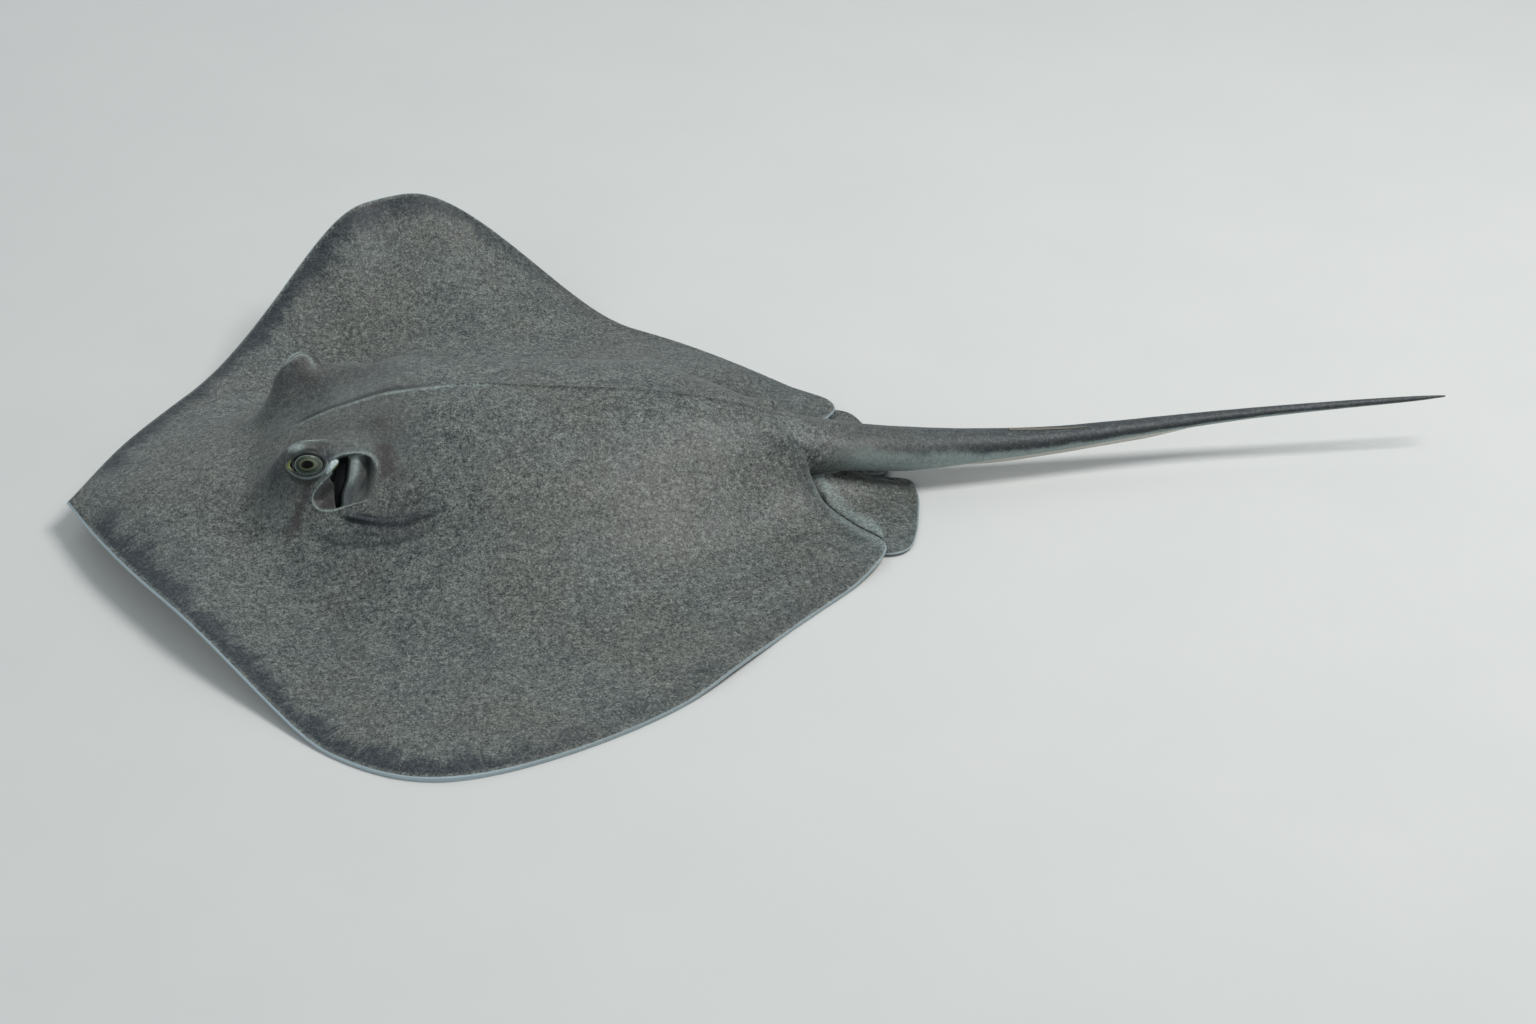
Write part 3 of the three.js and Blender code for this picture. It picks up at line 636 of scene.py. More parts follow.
# ---- Tail: station, height of the middle, half the height and half the width ----
TAIL_START = 620
TAIL = [
    (TAIL_START, 47, 39, 52),
    (660, 45.5, 37.5, 44),
    (700, 44, 27.8, 36),
    (730, 42.5, 22.6, 31),
    (760, 38.8, 20.8, 28),
    (800, 34.5, 20.2, 25),
    (865, 33, 16, 20),
    (940, 33, 11.5, 15.5),
    (1010, 36, 8.6, 12),
    (1085, 40.5, 6.2, 8.6),
    (1160, 45, 4.6, 6.2),
    (1235, 48, 3.6, 4.6),
    (1305, 50, 2.4, 3),
    (TAIL_END, 51, 0.8, 0.8),
]


def tail_profile(column):
    line = smooth_line([(row[0], row[column]) for row in TAIL])
    return lambda p: np.interp(p, line[:, 0], line[:, 1])


tail_middle, tail_half_height, tail_half_width = (tail_profile(column) for column in (1, 2, 3))


def tail_bend(p):
    return 14 * smooth(p, 820, 1120)


def tail_surface(p, turn):
    """Points of the tail; turn 0 is its right side and a quarter turn its top."""
    from_below = np.arctan2(np.cos(turn), -np.sin(turn))
    fold = 6 * smooth(p, 800, 900) * fade(p, 1030, 1115) * bell(from_below, 0, 0.2)
    groove = 0.7 * smooth(p, 780, 860) * fade(p, 1080, 1200) * bell(np.abs(from_below), 1.25, 0.12)
    ridge = 1.2 * bell(np.abs(from_below), np.pi, 0.16) * fade(p, 800, 900)
    girth = 1 + 0.012 * lumps(p, turn * 14, 26, 51) + 0.006 * lumps(p, turn * 14, 9, 52)
    wide = (tail_half_width(p) - groove) * girth
    high = (tail_half_height(p) + ridge) * girth
    y = tail_bend(p) + wide * np.cos(turn)
    return np.stack([p + 0 * turn, y, tail_middle(p) + high * np.sin(turn) - fold], -1)


# ---- Pelvic fins: the outline of the left one, its middle and its root on the tail's flank ----
PELVIC = [
    (745, 5), (690, 8), (672, 34), (694, 84), (722, 118), (748, 136), (768, 140), (784, 130),
    (794, 104), (801, 72), (806, 40), (805, 12), (793, 3), (768, 3), (745, 5),
]
PELVIC_MIDDLE = np.array([735.0, 40.0])
PELVIC_ROOT = {"swell": 9, "out": 10, "wide": 12, "ends": (700, 800)}
PELVIC_TUCK = {-1: 0, 1: 20}  # the right fin is held further forward
PELVIC_OFF_FLOOR = 0.3
pelvic_rim = smooth_line(PELVIC, PELVIC_SPOKES)


def pelvic_thickness(p, out, from_rim, bearing):
    """Thick at the root and thin at the rim, with faint rays; 1.3 mm of it is below the middle."""
    swell = PELVIC_ROOT["swell"] * bell(out, PELVIC_ROOT["out"], PELVIC_ROOT["wide"])
    root = (fin_root(out) + swell) * fade(p, *PELVIC_ROOT["ends"])
    rays = 0.22 * np.sin(bearing * 58 + 2 * lumps(p, out, 30, 61)) * smooth(from_rim, 2, 12)
    rays *= smooth(np.hypot(out - 10, p - 700), 30, 60)
    thick = mix(2.6, 5.2, smooth(from_rim, 2, 26)) + root + 0.5 * lumps(p, out, 22, 62) + rays
    # It swells behind the disc's hind corner, which lies over it with a crease between them.
    clear = from_inner_margin(p, out)
    swell = smooth(clear, 3, 10) * fade(clear, 30, 80) * smooth(out, 36, 48) * (p < DISC_LENGTH)
    return thick + 2.2 * swell * smooth(from_rim, 2, 20)


def pelvic_surface(side, spoke, share, upper):
    """Points of a pelvic fin, with how far they are from its rim and their bearing from its root."""
    rim = pelvic_rim[spoke % PELVIC_SPOKES]
    at = PELVIC_MIDDLE + (rim - PELVIC_MIDDLE) * share[..., None]
    p, out = at[..., 0], at[..., 1]
    from_rim = (1 - share) * np.linalg.norm(rim - PELVIC_MIDDLE, axis=-1)
    turned = np.sqrt(np.maximum(1 - (1 - np.clip(from_rim / 2.6, 0, 1)) ** 2, 0))
    bearing = np.arctan2(out - 10, p - 700)
    thick = pelvic_thickness(p, out, from_rim, bearing)
    middle = 1.5 * fade(from_rim, 0, 9) + 1.3
    z = np.where(upper, middle + (thick - 1.3) * turned, middle - 1.3 * turned)
    return np.stack([p - PELVIC_TUCK[side], side * out, z + PELVIC_OFF_FLOOR], -1), from_rim, bearing


# ---- Meshes ----
# The dark and dusky masks carry painted shade as well as darker skin, and the pale mask painted highlights
# too.
MASKS = ("belly", "edge", "along", "plain", "pale", "white", "dark", "dusky_and_shade", "brown", "yellow", "known")


def blank_masks(count):
    masks = {name: np.zeros(count) for name in MASKS}
    masks["edge"][:] = 200
    masks["known"][:] = 1
    return masks


def to_frame(points):
    """Millimetres from the snout tip to metres in the frame."""
    moved = np.array(points, float) / MM
    moved[:, 0] += SNOUT_X
    return moved


def make_object(name, points, triangles, masks=None):
    mesh = bpy.data.meshes.new(name)
    triangles = np.asarray(triangles, np.int32)
    mesh.vertices.add(len(points))
    mesh.vertices.foreach_set("co", to_frame(points).astype(np.float32).ravel())
    mesh.loops.add(len(triangles) * 3)
    mesh.loops.foreach_set("vertex_index", triangles.ravel())
    mesh.polygons.add(len(triangles))
    mesh.polygons.foreach_set("loop_start", np.arange(0, len(triangles) * 3, 3, dtype=np.int32))
    mesh.update(calc_edges=True)
    mesh.polygons.foreach_set("use_smooth", np.ones(len(triangles), bool))
    for mask, values in (masks or {}).items():
        attribute = mesh.attributes.new(mask, "FLOAT", "POINT")
        attribute.data.foreach_set("value", np.asarray(values, np.float32))
    piece = bpy.data.objects.new(name, mesh)
    bpy.context.scene.collection.objects.link(piece)
    return piece


def quads_to_triangles(a, b, c, d):
    """Two triangles for each quad, less those that have shrunk to a line."""
    both = np.concatenate([np.stack([a, b, c], -1).reshape(-1, 3), np.stack([a, c, d], -1).reshape(-1, 3)])
    whole = (both[:, 0] != both[:, 1]) & (both[:, 1] != both[:, 2]) & (both[:, 2] != both[:, 0])
    return both[whole]


def spread(count, samples, spacing):
    """count + 1 places among the samples, closer together where the spacing is small."""
    steps = np.diff(samples, axis=-1) / (spacing[..., 1:] + spacing[..., :-1]) * 2
    sums = np.concatenate([np.zeros(steps.shape[:-1] + (1,)), np.cumsum(steps, -1)], -1)
    wanted = np.linspace(0, 1, count + 1)
    if samples.ndim == 1:
        return np.interp(wanted * sums[-1], sums, samples)
    return np.stack([np.interp(wanted * s[-1], s, x) for s, x in zip(sums, samples)])


def disc_columns():
    u = np.linspace(0, 1, 20001)
    out = span * (1 - (1 - u) ** 2)
    at_tip = 0.02 + 0.47 * np.sqrt(np.maximum(span - out, 0))
    in_head = smooth(out, 50, HEAD_OUT[0]) * fade(out, HEAD_OUT[1], 132)
    spacing = np.minimum(mix(2.7, 0.36, in_head), at_tip)
    half = spread(COLUMNS // 2, out, spacing)
    return np.concatenate([-half[:0:-1], half])


def disc_rows(count, q, zone, finest, coarsest):
    """For each column, the stations of its rows, which are finest within the zone."""
    share = np.linspace(0, 1, 1601)
    share = share - np.sin(2 * np.pi * share) / (2 * np.pi) * 0.98
    length = np.maximum(hind(q) - front(q), 1e-4)
    samples = front(q)[:, None] + length[:, None] * share
    from_edge = length[:, None] * np.minimum(share, 1 - share)
    in_zone = smooth(samples, zone[0] - 25, zone[0]) * fade(samples, zone[1], zone[1] + 40)
    spacing = np.minimum(mix(coarsest, finest, in_zone), 0.28 + 0.16 * from_edge)
    return spread(count, samples, spacing)


def margin_facts(p, q):
    """The distance from the disc's free margin, and how far along the margin the nearest part is."""
    margin = np.concatenate([front_edge, hind_edge[::-1][1:]])
    margin = smooth_line(margin[::4], 7000)
    run = np.concatenate([[0], np.cumsum(np.linalg.norm(np.diff(margin, axis=0), axis=1))])
    free = np.nonzero((margin[:, 1] > 34) | (margin[:, 0] < DISC_LENGTH / 2))[0]
    tree = KDTree(len(free))
    for k in free:
        tree.insert((margin[k, 0], margin[k, 1], 0), int(k))
    tree.balance()
    edge, along = np.full(len(p), 200.0), np.zeros(len(p))
    for n in np.nonzero(inset(p, q) < 70)[0]:
        _, k, distance = tree.find((p[n], abs(q[n]), 0))
        edge[n], along[n] = distance, run[k]
    return edge, along


def capped_tube(rings):
    """The points and triangles of a tube through rings of points, closed at both ends."""
    steps, sides = rings.shape[:2]
    points = np.concatenate([rings.reshape(-1, 3), [rings[0].mean(0), rings[-1].mean(0)]])
    ids = np.arange(steps * sides).reshape(steps, sides)
    after = np.roll(ids, -1, 1)
    body = quads_to_triangles(ids[:-1], after[:-1], after[1:], ids[1:])
    first, last = len(points) - 2, len(points) - 1
    cap = np.stack([np.full(sides, first), after[0], ids[0]], -1)
    tip = np.stack([np.full(sides, last), ids[-1], after[-1]], -1)
    return points, np.concatenate([body, cap, tip])


def mark_midline(p, q, masks):
    """Painted highlight on a thin ridge behind the head, painted shade in its crease, the thorns' dark
    line.
    """
    out = np.abs(q)
    wander = 1.2 * lumps(p, 0 * p, 40, 71)
    line, fold = bell(q, wander, 2.6), bell(q, wander + 5, 4.5)
    ridge = bell(q, wander - 2.5, 1.8) * smooth(p, 205, 235) * fade(p, 380, 430)
    brow = bell(p, 226, 34) * bell(out, 56, 17) + 0.6 * bell(p, 285, 38) * bell(out, 50, 22)
    thorny = line * smooth(p, 392, 420) * fade(p, 600, 720)
    strengthen(
        masks,
        slice(None),
        # A painted highlight along the ridge.
        ("pale", 0.42 * ridge * (1 + 0.6 * lumps(p, q, 11, 73))),
        ("brown", 0.6 * brow * (1 + 0.6 * lumps(p, q, 18, 74))),
        # Painted shade in the crease beyond the ridge.
        ("dark", 0.7 * fold * smooth(p, 205, 235) * fade(p, 300, 400)),
        ("dark", 0.5 * thorny * (1 + 0.5 * lumps(p, q, 9, 72))),
    )


def mark_back(p, q, masks):
    """The marks of the upper side, but for those round the eyes."""
    mark_midline(p, q, masks)
    beside = bell(-from_inner_margin(p, q), 12, 10) * smooth(p, 690, 704) * (q < 0)
    head = fade(np.abs(q), 80, 125) * smooth(p, 150, 200) * fade(p, 310, 370)
    # Painted shade where the back drops to the raised wing.
    valley_shade = bell(q, 142, 32) * behind_shoulders(p)
    strengthen(masks, slice(None), ("pale", 0.3 * beside), ("plain", 0.55 * head), ("dusky_and_shade", 0.45 * valley_shade))


def shape_face(points, masks):
    """The spiracles, the tabs of flesh and the lids on both sides of the head."""
    for name, side in SIDES.items():
        mine = np.nonzero(points[:, 1] * side > 20)[0]
        part, part_masks = points[mine], {mask: values[mine] for mask, values in masks.items()}
        tab = caruncle_place(part, eye_facing(name))
        shape_spiracle(part, spiracle_facing(name), part_masks, tab[2])
        shape_caruncle(part, eye_facing(name), part_masks, tab)
        shape_lids(part, eye_facing(name), part_masks)
        points[mine] = part
        for mask, values in part_masks.items():
            masks[mask][mine] = values


def disc_triangles(top_shape, low_shape):
    """The triangles of the upper and the lower grid, which share their rim."""
    top = np.arange(top_shape[0] * top_shape[1]).reshape(top_shape)
    low = top.size + np.arange(low_shape[0] * low_shape[1]).reshape(low_shape)
    low = np.concatenate([top[:, :1], low, top[:, -1:]], 1)
    for end in (0, -1):  # all the rows meet in one point at a wing tip
        top[end] = top[end, 0]
        low[end] = top[end, 0]
    above = quads_to_triangles(top[:-1, :-1], top[:-1, 1:], top[1:, 1:], top[1:, :-1])
    below = quads_to_triangles(low[:-1, :-1], low[1:, :-1], low[1:, 1:], low[:-1, 1:])
    return np.concatenate([above, below])


def disc_object():
    columns = disc_columns()
    top = disc_rows(TOP_ROWS, columns, HEAD_STATIONS, 0.6, 2.7)
    low = disc_rows(BOTTOM_ROWS, columns, MOUTH_TO_GILLS, 0.9, 6.0)[:, 1:-1]
    p = np.concatenate([top.ravel(), low.ravel()])
    q = np.concatenate([np.repeat(columns, top.shape[1]), np.repeat(columns, low.shape[1])])
    upper = np.arange(len(p)) < top.size
    grooves, groove_marks = underside_grooves(p, q)
    z = np.where(upper, upside(p, q), underside(p, q) + grooves * smooth(inset(p, q), 4, 20))
    points = placed(p, q, z)
    masks = blank_masks(len(p))
    masks["dark"] = np.where(upper, 0, groove_marks)
    masks["edge"], masks["along"] = margin_facts(p, q)
    masks["belly"] = np.where(upper, 0.0, 1.0)
    masks["belly"][: top.size].reshape(top.shape)[:, [0, -1]] = 0.5
    top_masks = {name: values[: top.size] for name, values in masks.items()}
    mark_back(p[: top.size], q[: top.size], top_masks)
    shape_face(points[: top.size], top_masks)
    return tidy_object("disc", points, disc_triangles(top.shape, low.shape), masks)


def tidy_object(name, points, triangles, masks):
    """Leaves out the vertices that no triangle uses."""
    used, renumbered = np.unique(triangles, return_inverse=True)
    kept = {mask: values[used] for mask, values in masks.items()}
    return make_object(name, points[used], renumbered.reshape(-1, 3), kept)


def tail_marks(p, turn):
    """Off-white below, a pale flank, and dark above with a darker stripe along it."""
    from_below = np.abs(np.arctan2(np.cos(turn), -np.sin(turn)))
    wander = 0.16 * lumps(p, turn * 16, 30, 53) + 0.1 * lumps(p, turn * 16, 7, 54)
    reach = 0.55 + 0.2 * smooth(p, 800, 900) - 0.2 * smooth(p, 960, 1180)
    side = np.interp(p, [700, 825, 900, 1000, 1150], [2.4, 1.95, 1.62, 1.5, 1.45]) + wander
    above = smooth(from_below, side - 0.22, side + 0.22)
    flank = mix(0.75, 0.2, smooth(from_below, 1.2, 2.3)) * (1 - above)
    stripe = bell(from_below, side + 0.34, 0.36) * above * smooth(p, 800, 900)
    return {
        "belly": fade(from_below, reach, reach + 0.4) * fade(p, 1180, 1290),
        "pale": flank * smooth(p, 700, 770) * fade(p, 1150, 1300),
        "dusky_and_shade": above * mix(0.4, 0.75, smooth(p, 760, 960)) * smooth(p, 690, 760),
        "plain": smooth(p, 690, 760) * mix(1.0, 0.5, above),
        "dark": 0.55 * stripe * (1 - 0.5 * smooth(p, 1130, 1300)),
    }


def tail_object():
    p = TAIL_START + (TAIL_END - TAIL_START) * np.linspace(0, 1, TAIL_STEPS + 1)
    turn = np.linspace(0, 2 * np.pi, TAIL_SIDES, endpoint=False)
    p, turn = np.meshgrid(p, turn, indexing="ij")
    points, triangles = capped_tube(tail_surface(p, turn))
    masks = blank_masks(len(points))
    for name, values in tail_marks(p, turn).items():
        masks[name][: p.size] = values.ravel()
    return make_object("tail", points, triangles, masks)


def pelvic_marks(side, points, from_rim, bearing, upper):
    """Its margin, hidden where the body covers it, and shade painted in the crease at the disc's hind
    corner.
    """
    marks = blank_masks(from_rim.size)
    marks["belly"][:] = 0.0 if upper else 1.0
    marks["belly"][(from_rim == 0).ravel()] = 0.5
    p, out = points[..., 0] + PELVIC_TUCK[side], np.abs(points[..., 1])
    hidden = 60 * fade(p, 690, 735) + 60 * fade(out, 8, 20) * fade(points[..., 0], 735, 785)
    marks["edge"] = (from_rim + hidden).ravel()
    marks["along"] = (3000 + bearing * 90).ravel()
    if upper:
        clear = from_inner_margin(p, out)
        at_crease = smooth(p, 700, 712) * (p < DISC_LENGTH)
        # Painted shade in the crack beside the disc's hind corner.
        marks["dark"] = (0.95 * fade(clear, 7.5, 11) * at_crease).ravel()
        marks["pale"] = (0.4 * bell(clear, 24, 13) * at_crease).ravel()
    return marks


def pelvic_object(side):
    share = 1 - (1 - np.linspace(0, 1, PELVIC_RINGS + 1)) ** 1.7
    spoke, ring = np.meshgrid(np.arange(PELVIC_SPOKES), share, indexing="ij")
    places, masks = [], []
    for upper in (True, False):
        points, from_rim, bearing = pelvic_surface(side, spoke, ring, upper)
        places.append(points.reshape(-1, 3))
        masks.append(pelvic_marks(side, points, from_rim, bearing, upper))
    ids = np.arange(spoke.size).reshape(spoke.shape)
    ids[:, 0] = ids[0, 0]
    low_ids = ids + spoke.size
    low_ids[:, -1] = ids[:, -1]
    faces = []
    for grid, upper in ((ids, True), (low_ids, False)):
        after = np.roll(grid, -1, 0)
        quads = (grid[:, :-1], grid[:, 1:], after[:, 1:], after[:, :-1])
        faces.append(quads_to_triangles(*(quads if upper == (side < 0) else quads[::-1])))
    marks = {name: np.concatenate([m[name] for m in masks]) for name in MASKS}
    return tidy_object("pelvic", np.concatenate(places), np.concatenate(faces), marks)


# ---- One skin ----
SOFTEN_REACH, SOFTEN_ROUNDS = 9, 60  # from the seam, and how often


def read_attribute(mesh, name):
    values = np.zeros(len(mesh.vertices), np.float32)
    mesh.attributes[name].data.foreach_get("value", values)
    return values.astype(float)


def joined_mesh(pieces):
    """The union of closed pieces, in triangles."""
    whole = pieces[0]
    for piece in pieces[1:]:
        joint = whole.modifiers.new("join", "BOOLEAN")
        joint.operation, joint.solver, joint.object = "UNION", "MANIFOLD", piece
    whole.modifiers.new("triangles", "TRIANGULATE")
    graph = bpy.context.evaluated_depsgraph_get()
    mesh = bpy.data.meshes.new_from_object(whole.evaluated_get(graph))
    for piece in pieces:
        bpy.data.objects.remove(piece)
    return mesh


def edges_of(mesh):
    ends = np.zeros(len(mesh.edges) * 2, np.int32)
    mesh.edges.foreach_get("vertices", ends)
    return ends.reshape(-1, 2)


def neighbour_mean(values, ends, weights, total):
    """The weighted mean of each vertex's neighbours."""
    a, b = ends[:, 0], ends[:, 1]
    count = len(total)
    sums = np.bincount(a, weights * values[b], count) + np.bincount(b, weights * values[a], count)
    return sums / np.maximum(total, 1e-12)


def fill_new_vertices(mesh, ends):
    """Gives the vertices that the union made the mean of their neighbours' marks."""
    known = read_attribute(mesh, "known") > 0.5
    weights = np.ones(len(ends))
    for name in MASKS:
        values = read_attribute(mesh, name)
        settled = known.copy()
        for _ in range(4):
            has = settled.astype(float)
            total = neighbour_mean(has, ends, weights, np.ones(len(values)))
            filled = neighbour_mean(values * has, ends, weights, total)
            use = ~settled & (total > 0)
            values[use] = filled[use]
            settled |= use
        mesh.attributes[name].data.foreach_set("value", values.astype(np.float32))
    return ~known


def root_weights(points, seam):
    """How much each vertex may move: most on the seam, and none away from the tail's root."""
    tree = KDTree(int(seam.sum()))
    for k in np.nonzero(seam)[0]:
        tree.insert(points[k], int(k))
    tree.balance()
    p, out, z = points[:, 0], np.abs(points[:, 1]), points[:, 2]
    near = np.nonzero((p > 600) & (p < 790) & (out < 110) & (z > 3))[0]
    away = np.array([tree.find(points[k])[2] for k in near])
    p, out, z = p[near], out[near], z[near]
    limit = 47 + 15 * fade(p, 655, 682)
    weight = np.zeros(len(points))
    weight[near] = np.exp(-((away / SOFTEN_REACH) ** 2)) * smooth(z, 3, 8)
    weight[near] *= fade(out - limit, -5, 4) * fade(p, 722, 750)
    return weight


def soften_root(mesh, ends, seam):
    """Fairs the skin where the tail and the pelvic fins grow out of the trunk."""
    flat = np.zeros(len(mesh.vertices) * 3, np.float32)
    mesh.vertices.foreach_get("co", flat)
    points = flat.reshape(-1, 3).astype(float) * MM
    points[:, 0] -= SNOUT_X * MM
    weight = root_weights(points, seam)
    used, local = np.unique(ends[(weight > 0.002)[ends].any(1)], return_inverse=True)
    local = local.reshape(-1, 2)
    place, pull = points[used], weight[used][:, None]
    for _ in range(SOFTEN_ROUNDS):
        length = np.linalg.norm(place[local[:, 0]] - place[local[:, 1]], axis=1)
        weights = 1 / np.maximum(length, 0.3)
        total = np.bincount(local[:, 0], weights, len(used)) + np.bincount(local[:, 1], weights, len(used))
        mean = np.stack([neighbour_mean(place[:, axis], local, weights, total) for axis in range(3)], 1)
        place = place + pull * 0.7 * (mean - place)
    points[used] = place
    mesh.vertices.foreach_set("co", to_frame(points).astype(np.float32).ravel())
    mesh.update()


FLESH = (
    "head", "trunk", "wing_left", "wing_right", "pelvic_fin_left", "pelvic_fin_right",
    "tail_base", "tail_middle", "tail_tip",
)


def make_skin():
    margins = [lid_margin(name) for name in SIDES]
    mesh = joined_mesh([disc_object(), tail_object(), pelvic_object(-1), pelvic_object(1), *margins])
    mesh.name = "skin"
    ends = edges_of(mesh)
    seam = fill_new_vertices(mesh, ends)
    soften_root(mesh, ends, seam)
    mesh.polygons.foreach_set("use_smooth", np.ones(len(mesh.polygons), bool))
    for name in list(mesh.attributes.keys()):
        if name in ("known", "sharp_face"):
            mesh.attributes.remove(mesh.attributes[name])
    skin = bpy.data.objects.new("skin", mesh)
    bpy.context.scene.collection.objects.link(skin)
    return skin


# ---- Eyeballs ----
EYE_RINGS = 90
EYE_SPOKES = 96


def make_eye(name):
    """An eyeball in rings round the way it looks, with the iris's rings as a mark on them."""
    facing = eye_facing(name)
    angle = np.pi * np.linspace(0, 1, EYE_RINGS + 1) ** 1.25
    turn = np.linspace(0, 2 * np.pi, EYE_SPOKES, endpoint=False)
    grid_angle, grid_turn = np.meshgrid(angle, turn, indexing="ij")
    radius = EYE_RADIUS - 0.05
    reach = radius * np.sin(grid_angle)
    a, b = reach * np.cos(grid_turn), reach * np.sin(grid_turn)
    points = facing.point(a, b, radius * np.cos(grid_angle)).reshape(-1, 3)
    ids = np.arange(a.size).reshape(a.shape)
    ids[0], ids[-1] = ids[0, 0], ids[-1, 0]
    nxt = np.roll(ids, -1, 1)
    quads = (ids[:-1], ids[1:], nxt[1:], nxt[:-1])
    triangles = quads_to_triangles(*(quads if SIDES[name] > 0 else quads[::-1]))
    # The pupil is drawn a little tailward, and the outer rings crowd in front of it.
    x, y = a - 2, b + 0.9
    x = x * (1 - 0.012 * x * smooth(np.abs(x), 4, 9))
    ring = np.where(grid_angle < np.pi / 2, np.hypot(x, y * 1.52), 30)
    lit = smooth(0.75 * a + 0.66 * b, 0, 8)
    marks = {"ring": ring.ravel(), "tailward": a.ravel(), "spoke": grid_turn.ravel(), "lit": lit.ravel()}
    return tidy_object(f"eyeball_{name}", points, triangles, marks)


# ---- Sting ----
STING_STEPS, STING_SIDES, STING_TEETH = 220, 24, 16


def make_sting():
    """A flat serrated spine with a groove along its middle, in the place of the solid one."""
    low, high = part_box("sting")
    start, end = station(low.x), station(high.x)
    middle_y = (low.y + high.y) / 2 * MM
    half = (high.y - low.y) / 2 * MM * 0.97
    t = np.linspace(0, 1, STING_STEPS + 1)
    turn = np.linspace(0, 2 * np.pi, STING_SIDES, endpoint=False)
    t, turn = np.meshgrid(t, turn, indexing="ij")
    p = start + (end - start) * t
    across, over = np.cos(turn), np.sin(turn)
    tooth = (t * STING_TEETH) % 1
    wide = half * np.sqrt(np.maximum(1 - t, 0.0)) * (0.84 + 0.16 * tooth * smooth(t, 0.05, 0.15))
    thick = np.sqrt(np.maximum(1 - t, 0.01))
    groove = 0.3 * bell(across, 0, 0.25) * (over > 0)
    top = tail_middle(p) + tail_half_height(p)
    z = top + 0.35 + thick * (np.sign(over) * np.abs(over) ** 0.7 - groove)
    rings = np.stack([p, middle_y + np.maximum(wide, 0.12) * across, z], -1)
    return make_object("sting_blade", *capped_tube(rings))


# ---- Thorns along the midline ----
THORN_LEVELS = ((-0.5, 1.25, 0), (0.25, 1.0, 0.1), (0.9, 0.5, 0.7), (1.25, 0.16, 1.35))  # up, wide, back
THORN_SIDES = 10


def thorn_stations(rng):
    """Uneven steps along the midline, wider apart towards the tail."""
    p, stations = 372.0, []
    while p < 760:
        stations.append(p)
        p += rng.uniform(3.2, 5.5) + smooth(p, 470, 620) * rng.uniform(3, 9)
    return stations


def thorn_points(base, size, up, forward, across):
    """A thorn's rings from its foot up, then its tip and the middle of its foot."""
    points = []
    for height, wide, back in THORN_LEVELS:
        for angle in 2 * np.pi * np.arange(THORN_SIDES) / THORN_SIDES:
            flat = np.cos(angle) * 1.5 * forward + np.sin(angle) * across
            points.append(base + size * (height * up + wide * flat + back * forward))
    return points + [base + size * (1.38 * up + 1.6 * forward), base - size * 0.5 * up]


def thorn_triangles():
    triangles = []
    last = THORN_SIDES * (len(THORN_LEVELS) - 1)
    tip, foot = last + THORN_SIDES, last + THORN_SIDES + 1
    for k in range(THORN_SIDES):
        n = (k + 1) % THORN_SIDES
        for low in range(0, last, THORN_SIDES):
            high = low + THORN_SIDES
            triangles += [(low + k, low + n, high + n), (low + k, high + n, high + k)]
        triangles += [(last + k, last + n, tip), (n, k, foot)]
    return np.array(triangles)


def make_thorns(skin):
    """Small backward-leaning thorns in an uneven row along the midline, set on the skin."""
    rng = np.random.default_rng(7)
    points, triangles = [], []
    for p in thorn_stations(rng):
        q = rng.normal(0, 1.1)
        size = rng.uniform(0.7, 1.25) * mix(1, 0.75, float(smooth(p, 500, 650)))
        above = Vector((p / MM + SNOUT_X, q / MM, 0.3))
        hit, place, normal, _ = skin.ray_cast(above, Vector((0, 0, -1)))
        if not hit:
            continue
        base = np.array(place) * MM
        base[0] -= SNOUT_X * MM
        up = np.array(normal)
        across = np.cross(up, [1.0, rng.normal(0, 0.15), 0.15])
        across /= np.linalg.norm(across)
        triangles.append(thorn_triangles() + len(points))
        points += thorn_points(base, size, up, np.cross(across, up), across)
    return make_object("midline_thorns", np.array(points), np.concatenate(triangles))


